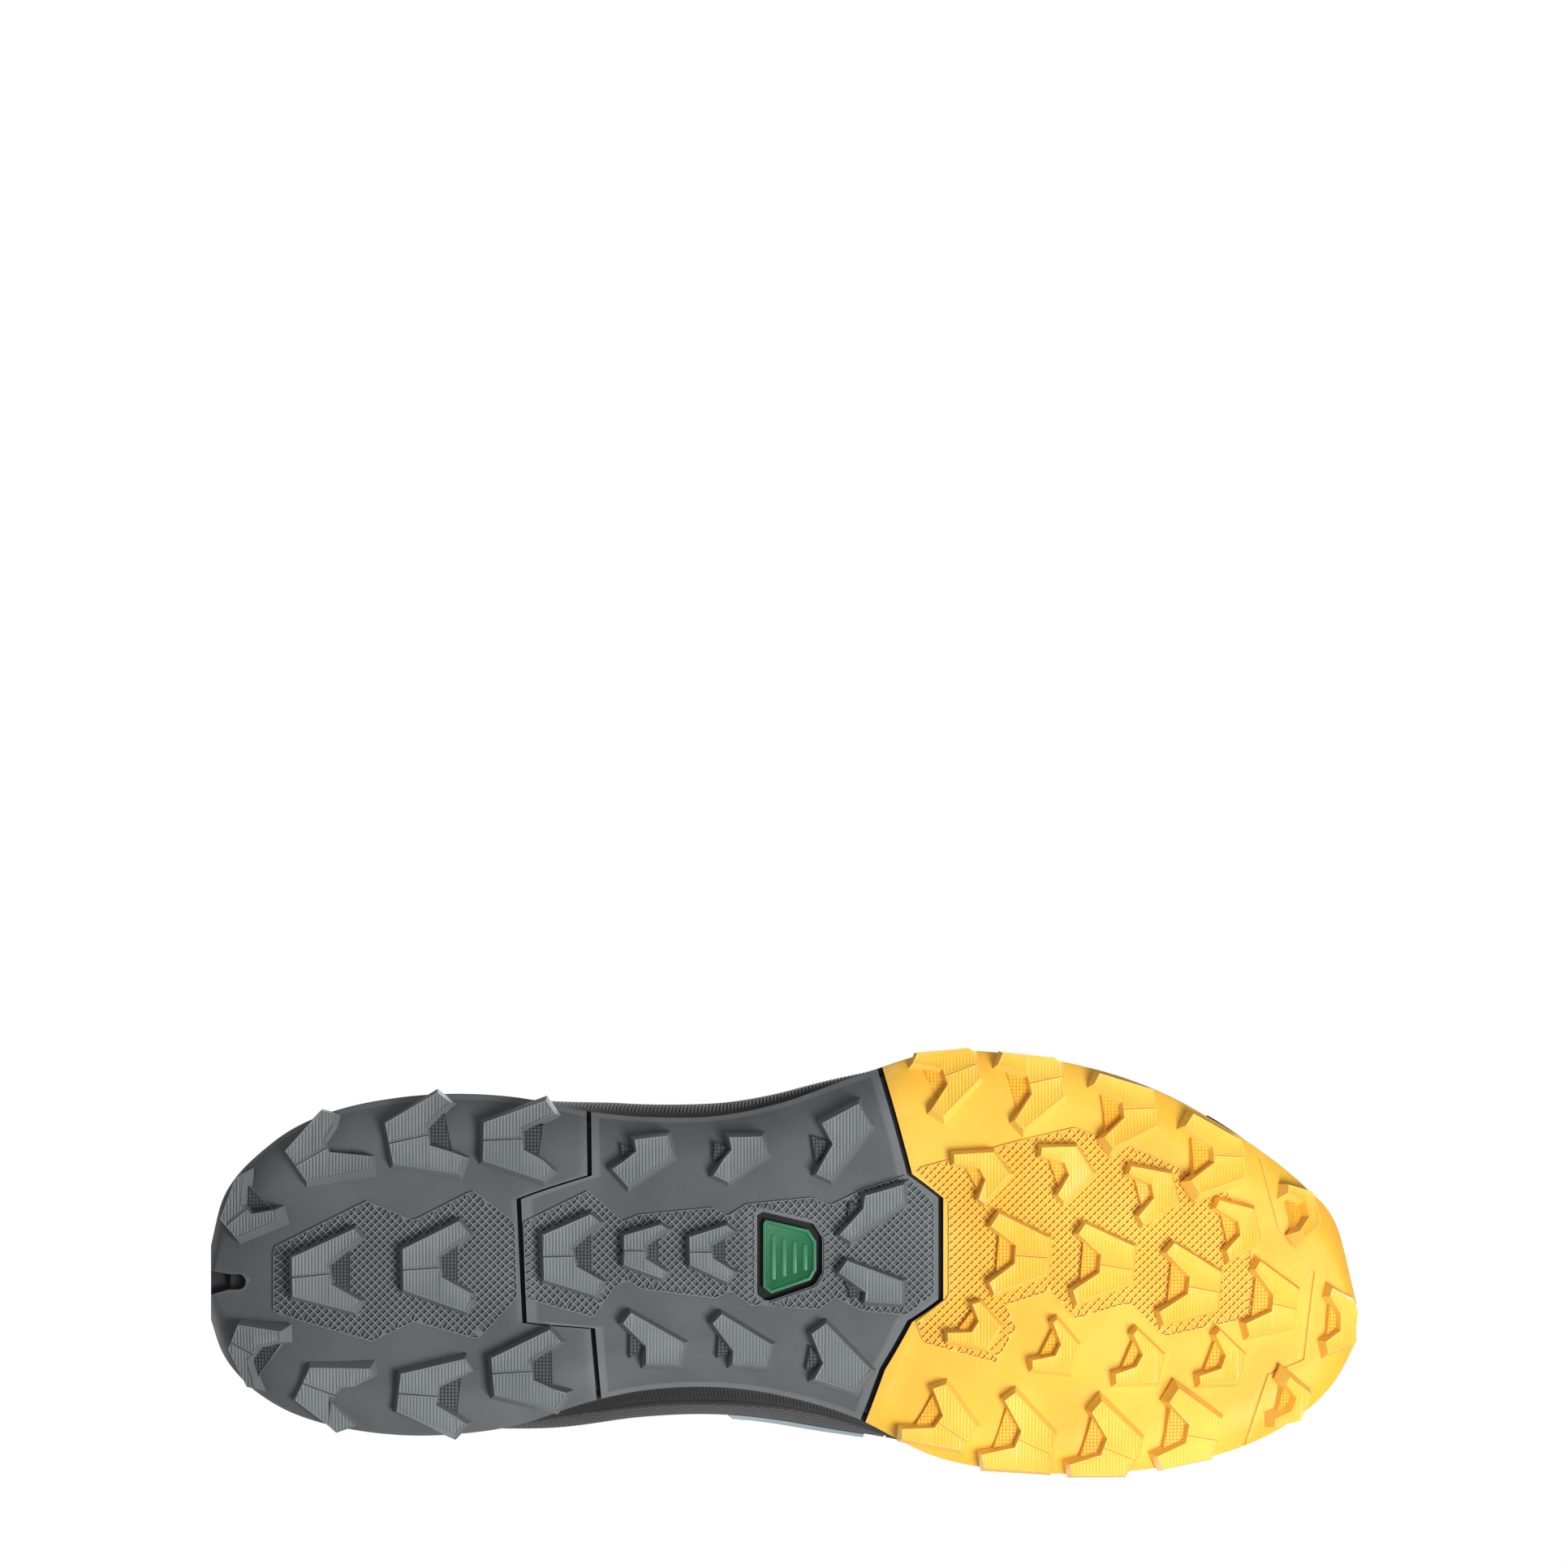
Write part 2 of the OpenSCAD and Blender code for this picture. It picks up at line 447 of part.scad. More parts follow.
// ---------- tongue, lacing and pull loop ----------

tongue_path = [[52, 2, 55.5], [30, 1.5, 64], [8, 1, 74.5], [-14, 1, 86], [-32, 1, 95],
    [-44, 1, 103], [-53, 1, 112], [-58, 1, 119]];
tongue_half = [[0, 9], [1, 12], [3, 15], [4, 17], [5, 19], [7, 25]];
tongue_crown = 0.2;  // drop of the tongue's edges, as a share of its half width
hinge_s = 4.7;       // place of the tongue's fold along its path
fold_s = 0.08;       // half the space left for the fold

function tongue_pt(s, w, d) = let(p = path_at(tongue_path, s),
    t = unit(path_at(tongue_path, min(7, s + eps)) - path_at(tongue_path, max(0, s - eps))),
    up = unit(cross([0, 1, 0], t)), half = ramp(tongue_half, s))
    p + [0, w * half, 0] + up * (d - tongue_crown * half * w^2);
module tongue_part(s0, s1, rows, t) {
    function sheet(d) = [for (i = [0:rows]) [for (w = [-1:0.25:1])
        tongue_pt(lerp(s0, s1, i / rows), w, d * (1 - 0.3 * w^4))]];
    between(sheet(0), sheet(-t));
}

module tongue_lower() {
    color("#1f2022") tongue_part(0, hinge_s - fold_s, 14, tongue_t);
}

module tongue_pad() {
    color("#1f2022") tongue_part(hinge_s + fold_s, 7, 8, tongue_t + 1);
}

loop_n = 5;          // lace loops on each side
loop_v = 0.95;       // their place up the side
loop_r = 5.2;        // radius of a loop's centre line
function loop_s(k) = lerp(throat_s, 9.3, k / (loop_n - 1));

// Webbing loops that guide the lace, side is 1 lateral or -1 medial
module lace_loops(side) {
    for (k = [0:loop_n - 1]) {
        s = side * loop_s(k);
        o = skin_off(s, loop_v, layer + gap + overlay_t);
        n = skin_normal(s, loop_v);
        along = unit(skin_at(s + eps, loop_v) - skin_at(s - eps, loop_v));
        across = cross(n, along);
        multmatrix([for (i = [0:2]) [across[i], n[i], along[i], o[i]]])
            rotate_extrude(angle = 180, $fn = 32)
                translate([loop_r, 0])
                    square([1, 3.2], center = true);
    }
}

module lace_loops_lateral() {
    color("#3c4042") lace_loops(1);
}

module lace_loops_medial() {
    color("#3c4042") lace_loops(-1);
}

toggle_at = [-27, 1, 99.5];
toggle_size = [15, 11, 6];
lace_rise = 1;       // clear space under the cord inside a loop
// The cord runs straight through loop k for `reach` on both sides of it, dir is 1 towards
// the toe and -1 towards the heel; between loops it rises by h over the tongue. The front
// loops point inwards, so the cord turns further behind them.
reach = 3.2;
front_reach = 5.5;
function through(side, k, dir) = let(s = loop_s(k),
    o = skin_off(side * s, loop_v, layer + overlay_t + lace_d / 2 + lace_rise),
    ahead = unit(skin_at(side * (s + eps), loop_v) - skin_at(side * (s - eps), loop_v)),
    behind = o - (k == loop_n - 1 ? front_reach : reach) * ahead,
    before = o + reach * ahead)
    dir > 0 ? [behind, o, before] : [before, o, behind];
function cross_over(a, b, h) = (a + b) / 2 + [0, 0, h];
lace_down = [for (k = [0:loop_n - 1]) through(k % 2 == 0 ? -1 : 1, k, 1)];
lace_up = [for (k = [loop_n - 1:-1:0]) through(k % 2 == 0 ? 1 : -1, k, -1)];
function with_middles(p, h) = [for (i = [0:len(p) - 1])
    each i < len(p) - 1 ? concat(p[i], [cross_over(p[i][2], p[i + 1][0], h)]) : p[i]];
lace_path = concat([toggle_at + [-6, 2.5, 0.5], [-41, 8, 105], [-44, 17, 104.5]],
    with_middles(lace_down, 6.5), [cross_over(lace_down[loop_n - 1][2], lace_up[0][0], 3)],
    with_middles(lace_up, 3), [[-44, -15, 104.5], [-41, -6, 105], toggle_at + [-6, -2.5, 0.5]]);

module lace_cord() {
    n = 4 * (len(lace_path) - 1);
    color("#2f7d55") tube([for (i = [0:n]) path_at(lace_path, i / 4)], lace_d);
}

module lace_toggle() {
    color("#26282a")
        translate(toggle_at)
            rotate([0, 25, 0])
                hull()
                    for (x = [-1, 1], y = [-1, 1])
                        translate([x * (toggle_size[0] / 2 - 3), y * (toggle_size[1] / 2 - 3), 0])
                            cylinder(r = 3, h = toggle_size[2], center = true, $fn = 20);
}

pull_base = [-141.8, 5, 98];
pull_rise = [0, 0, 10.5];
pull_w = 10;         // width of the webbing
pull_r = 3.9;        // outer radius of the loop's ends
pull_t = 1.1;        // thickness of the webbing

module pull_outline(r) {
    hull()
        for (p = [pull_base, pull_base + pull_rise])
            translate([p[0], p[2]]) circle(r, $fn = 32);
}

module heel_pull_loop() {
    color("#3c4042")
        translate([0, pull_base[1] + pull_w / 2, 0])
            rotate([90, 0, 0])
                linear_extrude(pull_w)
                    difference() {
                        pull_outline(pull_r);
                        pull_outline(pull_r - pull_t);
                    }
}

outsole_heel();
outsole_midfoot();
outsole_forefoot();
outsole_badge();
midsole_rear();
midsole_forefoot();
strobel_board();
sockliner();
quarter_lateral();
quarter_medial();
vamp();
toe_cap();
toe_puff();
side_band_lateral();
side_band_medial();
heel_cap();
heel_counter();
collar_lining();
eyestay_lateral();
eyestay_medial();
tongue_lower();
tongue_pad();
lace_loops_lateral();
lace_loops_medial();
lace_cord();
lace_toggle();
heel_pull_loop();
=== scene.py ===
import math
import bmesh
import bpy
from mathutils import Matrix, Vector
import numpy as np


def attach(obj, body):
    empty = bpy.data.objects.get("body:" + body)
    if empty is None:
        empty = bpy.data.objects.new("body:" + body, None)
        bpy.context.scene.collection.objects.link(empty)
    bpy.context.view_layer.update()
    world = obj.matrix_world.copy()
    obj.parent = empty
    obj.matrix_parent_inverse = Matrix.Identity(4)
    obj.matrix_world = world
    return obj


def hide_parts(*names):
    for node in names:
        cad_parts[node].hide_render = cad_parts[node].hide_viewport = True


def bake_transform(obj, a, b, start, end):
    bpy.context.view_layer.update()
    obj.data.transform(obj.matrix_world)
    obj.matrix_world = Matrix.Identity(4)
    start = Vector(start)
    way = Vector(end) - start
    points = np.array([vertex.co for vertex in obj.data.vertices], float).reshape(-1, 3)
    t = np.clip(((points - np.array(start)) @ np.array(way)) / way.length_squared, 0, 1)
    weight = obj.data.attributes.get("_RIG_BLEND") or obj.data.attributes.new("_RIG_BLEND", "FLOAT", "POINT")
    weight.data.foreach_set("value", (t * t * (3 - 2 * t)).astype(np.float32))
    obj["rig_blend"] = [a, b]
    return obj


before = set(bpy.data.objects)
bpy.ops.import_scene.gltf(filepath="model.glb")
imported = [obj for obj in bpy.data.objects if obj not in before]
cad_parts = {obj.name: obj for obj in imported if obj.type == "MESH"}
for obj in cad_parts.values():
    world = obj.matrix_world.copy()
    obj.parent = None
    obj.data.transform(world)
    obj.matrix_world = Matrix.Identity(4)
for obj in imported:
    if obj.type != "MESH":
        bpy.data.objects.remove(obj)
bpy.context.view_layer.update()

# A right trail running shoe. Sizes here are in millimetres, in the frame of the CAD model:
# +X to the toe, +Y to the medial side, +Z up, with the ground at z = 0.
mm = 0.001


# ---------- camera, light and floor ----------

stage = {
    "viewWidth": 402.5,          # what the camera sees, straight up at the sole
    "viewCentre": (0.1, -122.5),
    "cameraDrop": 900,
    "floorSize": 4000,
    "floorGrey": 0.5,
    "floorGlow": 0.7,            # lifts the far floor to the backdrop's white
    "skyGrey": 1.0,
    "skyStrength": 0.36,
    "keyPlace": (520, 380, -860),   # low, from the toe and the medial side
    "keySize": 420,
    "keyPower": 12.5,
    "topPlace": (350, -500, 900),
    "topSize": 700,
    "topPower": 10,
    "rimPlace": (-700, 500, 700),
    "rimPower": 7,
}


def addLight(name, place, size, power):
    data = bpy.data.lights.new(name, "AREA")
    data.shape = "DISK"
    data.size = size * mm
    data.energy = power
    data.specular_factor = 0.5
    light = bpy.data.objects.new(name, data)
    light.location = Vector(place) * mm
    aim = Vector((0, 0, 30)) * mm - light.location
    light.rotation_euler = aim.to_track_quat("-Z", "Y").to_euler()
    bpy.context.collection.objects.link(light)


def buildStage():
    camera = bpy.data.objects.new("camera", bpy.data.cameras.new("camera"))
    camera.data.type = "ORTHO"
    camera.data.ortho_scale = stage["viewWidth"] * mm
    x, y = stage["viewCentre"]
    camera.location = Vector((x, y, -stage["cameraDrop"])) * mm
    camera.rotation_euler = (math.pi, 0, 0)
    bpy.context.collection.objects.link(camera)
    scene = bpy.context.scene
    scene.camera = camera
    scene.view_settings.view_transform = "Standard"
    world = bpy.data.worlds.new("paper")
    world.use_nodes = True
    sky = world.node_tree.nodes["Background"]
    sky.inputs["Color"].default_value = (stage["skyGrey"],) * 3 + (1,)
    sky.inputs["Strength"].default_value = stage["skyStrength"]
    # seen straight on, the backdrop is plain white
    nodes, links = world.node_tree.nodes, world.node_tree.links
    bright = nodes.new("ShaderNodeBackground")
    bright.inputs["Color"].default_value = (1, 1, 1, 1)
    path = nodes.new("ShaderNodeLightPath")
    mix = nodes.new("ShaderNodeMixShader")
    links.new(path.outputs["Is Camera Ray"], mix.inputs["Fac"])
    links.new(sky.outputs["Background"], mix.inputs[1])
    links.new(bright.outputs["Background"], mix.inputs[2])
    links.new(mix.outputs["Shader"], nodes["World Output"].inputs["Surface"])
    scene.world = world
    addLight("key", stage["keyPlace"], stage["keySize"], stage["keyPower"])
    addLight("top", stage["topPlace"], stage["topSize"], stage["topPower"])
    addLight("rim", stage["rimPlace"], stage["topSize"], stage["rimPower"])
    bm = bmesh.new()
    bmesh.ops.create_grid(bm, x_segments=1, y_segments=1, size=stage["floorSize"] / 2 * mm)
    mesh = bpy.data.meshes.new("floor")
    bm.to_mesh(mesh)
    floor = bpy.data.objects.new("floor", mesh)
    bpy.context.collection.objects.link(floor)
    floor.data.materials.append(floorMaterial())


def floorMaterial():
    # The floor is one-sided: from below it lets sight and light through to the sole
    material = bpy.data.materials.new("floorPaper")
    material.use_nodes = True
    nodes, links = material.node_tree.nodes, material.node_tree.links
    nodes.clear()
    paper = nodes.new("ShaderNodeBsdfDiffuse")
    paper.inputs["Color"].default_value = (stage["floorGrey"],) * 3 + (1,)
    clear = nodes.new("ShaderNodeBsdfTransparent")
    path = nodes.new("ShaderNodeLightPath")
    side = nodes.new("ShaderNodeNewGeometry")
    front = nodes.new("ShaderNodeMath")
    front.operation = "SUBTRACT"
    front.inputs[0].default_value = 1
    links.new(side.outputs["Backfacing"], front.inputs[1])
    shown = nodes.new("ShaderNodeMath")
    shown.operation = "MULTIPLY"
    links.new(front.outputs["Value"], shown.inputs[0])
    links.new(path.outputs["Is Camera Ray"], shown.inputs[1])
    glow = nodes.new("ShaderNodeEmission")
    glow.inputs["Strength"].default_value = stage["floorGlow"]
    lit = nodes.new("ShaderNodeAddShader")
    links.new(paper.outputs["BSDF"], lit.inputs[0])
    links.new(glow.outputs["Emission"], lit.inputs[1])
    mix = nodes.new("ShaderNodeMixShader")
    links.new(shown.outputs["Value"], mix.inputs["Fac"])
    links.new(clear.outputs["BSDF"], mix.inputs[1])
    links.new(lit.outputs["Shader"], mix.inputs[2])
    out = nodes.new("ShaderNodeOutputMaterial")
    links.new(mix.outputs["Shader"], out.inputs["Surface"])
    return material


buildStage()
print("stage: camera, lights and floor")


# ---------- materials ----------

def newMaterial(name, colour, roughness, sheen=0.0, specular=0.5):
    material = bpy.data.materials.new(name)
    material.use_nodes = True
    nodes, links = material.node_tree.nodes, material.node_tree.links
    shader = nodes["Principled BSDF"]
    shader.inputs["Base Color"].default_value = (*colour, 1)
    shader.inputs["Roughness"].default_value = roughness
    shader.inputs["Sheen Weight"].default_value = sheen
    shader.inputs["Specular IOR Level"].default_value = specular
    return material, nodes, links, shader


def pattern(nodes, links, scale, detail=3.0, space="Object", rough=0.55):
    place = nodes.new("ShaderNodeTexCoord")
    noise = nodes.new("ShaderNodeTexNoise")
    noise.inputs["Scale"].default_value = scale
    noise.inputs["Detail"].default_value = detail
    noise.inputs["Roughness"].default_value = rough
    links.new(place.outputs[space], noise.inputs["Vector"])
    return noise.outputs["Fac"]


def ramped(nodes, links, value, stops):
    ramp = nodes.new("ShaderNodeValToRGB")
    points = ramp.color_ramp.elements
    while len(points) < len(stops):
        points.new(0.5)
    for point, (at, colour) in zip(points, stops):
        point.position = at
        point.color = (*colour, 1)
    links.new(value, ramp.inputs["Fac"])
    return ramp.outputs["Color"]


def bumped(nodes, links, shader, value, strength, distance, below=None):
    bump = nodes.new("ShaderNodeBump")
    bump.inputs["Strength"].default_value = strength
    bump.inputs["Distance"].default_value = distance * mm
    links.new(value, bump.inputs["Height"])
    if below:
        links.new(below, bump.inputs["Normal"])
    links.new(bump.outputs["Normal"], shader.inputs["Normal"])
    return bump.outputs["Normal"]


def rubberMaterial(name, dark, mid, light, roughness, dust, specular=0.5):
    # Moulded rubber: broad cloudy shade, fine grain, dust and rubbed edges
    material, nodes, links, shader = newMaterial(name, mid, roughness, 0, specular)
    cloud = ramped(nodes, links, pattern(nodes, links, 38, 4), [(0.3, dark), (0.5, mid), (0.72, light)])
    wear = nodes.new("ShaderNodeNewGeometry")
    edge = ramped(nodes, links, wear.outputs["Pointiness"], [(0.5, (0, 0, 0)), (0.56, (1, 1, 1))])
    speck = ramped(nodes, links, pattern(nodes, links, 1400, 2), [(0.66, (0, 0, 0)), (0.78, (1, 1, 1))])
    rubbed = nodes.new("ShaderNodeMix")
    rubbed.data_type = "RGBA"
    rubbed.inputs["B"].default_value = (*dust, 1)
    half = nodes.new("ShaderNodeMath")
    half.operation = "MULTIPLY"
    half.inputs[1].default_value = 0.3
    links.new(edge, half.inputs[0])
    links.new(half.outputs["Value"], rubbed.inputs["Factor"])
    links.new(cloud, rubbed.inputs["A"])
    dotted = nodes.new("ShaderNodeMix")
    dotted.data_type = "RGBA"
    dotted.inputs["B"].default_value = (*dust, 1)
    faint = nodes.new("ShaderNodeMath")
    faint.operation = "MULTIPLY"
    faint.inputs[1].default_value = 0.12
    links.new(speck, faint.inputs[0])
    links.new(faint.outputs["Value"], dotted.inputs["Factor"])
    links.new(rubbed.outputs["Result"], dotted.inputs["A"])
    links.new(dotted.outputs["Result"], shader.inputs["Base Color"])
    gloss = nodes.new("ShaderNodeMapRange")
    gloss.inputs["To Min"].default_value = roughness - 0.1
    gloss.inputs["To Max"].default_value = roughness + 0.12
    links.new(pattern(nodes, links, 90, 3), gloss.inputs["Value"])
    links.new(gloss.outputs["Result"], shader.inputs["Roughness"])
    grain = bumped(nodes, links, shader, pattern(nodes, links, 900, 3), 0.35, 0.08)
    bumped(nodes, links, shader, pattern(nodes, links, 120, 2), 0.2, 0.3, grain)
    return material


def shade(red, green, blue):
    # a colour given as it looks, 0 to 255, turned into light
    return tuple(((c / 255 + 0.055) / 1.055) ** 2.4 if c > 10 else c / 255 / 12.92
                 for c in (red, green, blue))


greyRubber = rubberMaterial("greyRubber", shade(74, 78, 81), shade(82, 86, 89), shade(91, 95, 98),
                            0.62, shade(136, 140, 142))
# a darker copy of the grey rubber for the lattice pits and their walls: painted shade
greyPitShade = rubberMaterial("greyPitShade", shade(26, 29, 31), shade(32, 35, 37), shade(40, 43, 45), 0.8,
                         shade(60, 63, 65))
# a lighter copy of the grey rubber for the lug tops and the lattice bars: painted highlight
greyTopHighlight = rubberMaterial("greyTopHighlight", shade(104, 109, 112), shade(113, 118, 121), shade(122, 127, 130),
                          0.66, shade(150, 154, 156))
yellowRubber = rubberMaterial("yellowRubber", shade(240, 176, 46), shade(248, 190, 58), shade(252, 200, 72),
                              0.55, shade(255, 220, 130))
# a darker copy of the yellow rubber for the lattice pits and their walls: painted shade
yellowPitShade = rubberMaterial("yellowPitShade", shade(180, 104, 12), shade(196, 120, 18), shade(208, 134, 26),
                           0.6, shade(236, 186, 90))
# a lighter copy of the yellow rubber for the lug tops and the lattice bars: painted highlight
yellowTopHighlight = rubberMaterial("yellowTopHighlight", shade(244, 184, 54), shade(251, 197, 66), shade(255, 208, 82),
                            0.58, shade(255, 226, 150))
greenRubber = rubberMaterial("greenRubber", shade(8, 86, 48), shade(14, 100, 58), shade(24, 116, 70),
                             0.45, shade(96, 170, 132))
blackFoam = rubberMaterial("blackFoam", shade(30, 30, 31), shade(38, 38, 39), shade(46, 46, 47),
                           0.75, shade(80, 80, 82), 0.2)
greyParts = [greyRubber, greyPitShade, greyTopHighlight]          # base, pits with painted shade, tops of the lugs and bars with painted highlight
yellowParts = [yellowRubber, yellowPitShade, yellowTopHighlight]


# ---------- helpers ----------

def mix(a, b, t):
    return a + (b - a) * t


def clamp01(t):
    return min(1.0, max(0.0, t))


def spanAt(rows, x):
    i = 0
    while i < len(rows) - 2 and x >= rows[i + 1][0]:
        i += 1
    return i


def curveAt(rows, x):
    # smooth values at x from rows that start with x
    i = spanAt(rows, x)
    h = rows[i + 1][0] - rows[i][0]
    u = clamp01((x - rows[i][0]) / h)

    def slopes(k):
        a, b = rows[max(0, k - 1)], rows[min(len(rows) - 1, k + 1)]
        return [(q - p) / (b[0] - a[0]) * h for p, q in zip(a, b)]

    f = (2 * u**3 - 3 * u**2 + 1, u**3 - 2 * u**2 + u, 3 * u**2 - 2 * u**3, u**3 - u**2)
    parts = zip(rows[i], slopes(i), rows[i + 1], slopes(i + 1))
    return [sum(k * p for k, p in zip(f, four)) for four in parts]


def rampAt(rows, x):
    i = spanAt(rows, x)
    return mix(rows[i][1], rows[i + 1][1], clamp01((x - rows[i][0]) / (rows[i + 1][0] - rows[i][0])))


def finishPiece(bm, name, materials, body, stands=(), sharp=35):
    # the mesh is made in millimetres and stored in metres
    bmesh.ops.scale(bm, vec=(mm, mm, mm), verts=bm.verts)
    mesh = bpy.data.meshes.new(name)
    for face in bm.faces:
        face.smooth = True
    bm.to_mesh(mesh)
    bm.free()
    mesh.set_sharp_from_angle(angle=math.radians(sharp))
    for material in materials:
        mesh.materials.append(material)
    piece = bpy.data.objects.new(name, mesh)
    bpy.context.collection.objects.link(piece)
    if stands:
        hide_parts(*stands)
    if body == "flex":
        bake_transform(piece, "shoe", "toe", start=flex["start"], end=flex["end"])
    else:
        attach(piece, body)
    return piece


flex = {"start": (0.004, 0, 0.0285), "end": (0.078, 0, 0.0285)}   # where the shoe bends


def joinInto(bm, part):
    mesh = bpy.data.meshes.new("part")
    part.to_mesh(mesh)
    part.free()
    bm.from_mesh(mesh)
    bpy.data.meshes.remove(mesh)


def cutAway(bm, cutter):
    # takes the cutter's solid out of bm, and gives the new bmesh
    pair = []
    for part, name in ((bm, "kept"), (cutter, "cutter")):
        mesh = bpy.data.meshes.new(name)
        part.to_mesh(mesh)
        part.free()
        item = bpy.data.objects.new(name, mesh)
        bpy.context.collection.objects.link(item)
        pair.append(item)
    kept, tool = pair
    modifier = kept.modifiers.new("cut", "BOOLEAN")
    modifier.operation = "DIFFERENCE"
    modifier.solver = "EXACT"
    modifier.object = tool
    shaped = kept.evaluated_get(bpy.context.evaluated_depsgraph_get()).to_mesh()
    result = bmesh.new()
    result.from_mesh(shaped)
    for item in pair:
        mesh = item.data
        bpy.data.objects.remove(item)
        bpy.data.meshes.remove(mesh)
    return result


# ---------- sole shape ----------

sole = {
    "lug": 4.0,          # height of the lugs
    "base": 1.8,         # thickness of the rubber under them
    "toeSpring": 13,
    "heelRise": 7,
    "roll": 4,           # rise of the rolled side edges
    "rollWidth": 12,
    "joint": 1.3,        # width of the open joints between the pads
}
rubberEdge = [
    (-147, -4, 15), (-144.5, -14.5, 22.5), (-141, -21, 28), (-135, -27.3, 33.8), (-126, -34, 39),
    (-114, -39, 42.6), (-99, -42, 44.6), (-84, -43, 44.4), (-68, -42, 42), (-51, -38.6, 36.4),
    (-35, -37, 33), (-17, -37.3, 32.3), (0, -40.8, 34.6), (18, -47.3, 40), (38, -53.5, 49.8),
    (55, -53.6, 53.4), (75, -50.5, 54.6), (93, -45, 53.4), (108, -37.5, 50.6), (123, -28, 45.3),
    (135, -18, 37.6), (142, -9, 30), (147, 10.5, 20.5)]
foamEdge = [
    (-145, 0, 10), (-141.5, -14, 21), (-137, -21, 28), (-129, -28.5, 34), (-118, -34.5, 38.8),
    (-103, -38.5, 42), (-86, -40.8, 43.4), (-66, -40.8, 41.5), (-48, -39.4, 38.8), (-30, -38.8, 37),
    (-12, -39.6, 37), (6, -42.8, 38.8), (22, -47.8, 43.4), (40, -52.4, 49.2), (58, -52.8, 52.6),
    (78, -49.8, 53.4), (96, -43.8, 52), (112, -35, 48), (127, -23.5, 40.8), (137, -12, 32), (145, 10, 18)]
foamTop = [(-147, 34), (-110, 32), (-60, 29.5), (0, 26), (40, 23.5), (90, 23.5), (120, 26), (147, 31)]
# joint lines across the sole, as (share of the width, x)
heelJoint = [(0, -50), (0.22, -49.8), (0.31, -68), (0.69, -66.5), (0.75, -49), (1, -47.4)]
flexJoint = [(0, 25.3), (0.3, 33), (0.36, 41), (0.61, 41), (0.68, 33), (0.83, 26), (1, 21)]


def baseZ(x, y):
    # underside of the rubber between the lugs
    edge = curveAt(rubberEdge, x)
    inside = min(y - edge[1], edge[2] - y)
    z = sole["lug"] + sole["roll"] * clamp01(1 - inside / sole["rollWidth"]) ** 2
    z += sole["toeSpring"] * clamp01((x - 55) / 92) ** 2
    return z + sole["heelRise"] * clamp01((-x - 112) / 35) ** 2


def baseNormal(x, y):
    slopeX, slopeY = baseZ(x - 1, y) - baseZ(x + 1, y), baseZ(x, y - 1) - baseZ(x, y + 1)
    return Vector((slopeX / 2, slopeY / 2, 1)).normalized()


def soleGrid(rear, front, tip, edges, rows, columns=100):
    # a flat grid spread between two joint lines and the side edges
    bm = bmesh.new()
    bmesh.ops.create_grid(bm, x_segments=rows, y_segments=columns, size=1)
    for vert in bm.verts:
        u, w = (vert.co.x + 1) / 2, (vert.co.y + 1) / 2
        if tip < 0:
            u = 1 - math.cos(math.pi / 2 * u)
        if tip > 0:
            u = math.sin(math.pi / 2 * u)
        x = mix(rampAt(rear, w), rampAt(front, w), u)
        edge = curveAt(edges, x)
        vert.co = (x, mix(edge[1], edge[2], w), 0)
    return bm


def endsAt(x):
    return [(0, x), (1, x)]


def shifted(joint, dx):
    return [(w, x + dx) for w, x in joint]


def insideOutline(x, y, outline):
    inside = False
    for (ax, ay), (bx, by) in zip(outline, outline[1:] + outline[:1]):
        if (ay > y) != (by > y) and x < (bx - ax) * (y - ay) / (by - ay) + ax:
            inside = not inside
    return inside


def nearestOnOutline(p, outline):
    best = None
    for a, b in zip(map(Vector, outline), map(Vector, outline[1:] + outline[:1])):
        q = a + (b - a) * clamp01((p - a).dot(b - a) / (b - a).length_squared)
        if best is None or (q - p).length < (best - p).length:
            best = q
    return best


def rubberPad(rear, front, tip, rows, hole=None):
    # the rubber under the lugs, with its lower rim rounded
    bm = soleGrid(rear, front, tip, rubberEdge, rows)
    if hole:
        gone = [f for f in bm.faces if insideOutline(*f.calc_center_median().xy, hole)]
        edge = {v for f in gone for v in f.verts}
        bmesh.ops.delete(bm, geom=gone, context="FACES")
        for vert in edge:
            if vert.is_valid:
                vert.co.x, vert.co.y = nearestOnOutline(vert.co.xy, hole)
    for vert in bm.verts:
        vert.co.z = baseZ(vert.co.x, vert.co.y)
    rim = [e for e in bm.edges if e.is_boundary]
    lower = list(bm.faces)
    up = bmesh.ops.extrude_face_region(bm, geom=lower, use_keep_orig=True)["geom"]
    bmesh.ops.translate(bm, vec=(0, 0, sole["base"]),
                        verts=[v for v in up if isinstance(v, bmesh.types.BMVert)])
    bmesh.ops.recalc_face_normals(bm, faces=bm.faces)
    bmesh.ops.bevel(bm, geom=rim, offset=0.45, segments=2, profile=0.5, affect="EDGES", material=-1,
                    clamp_overlap=True)
    return bm


# ---------- tread ----------

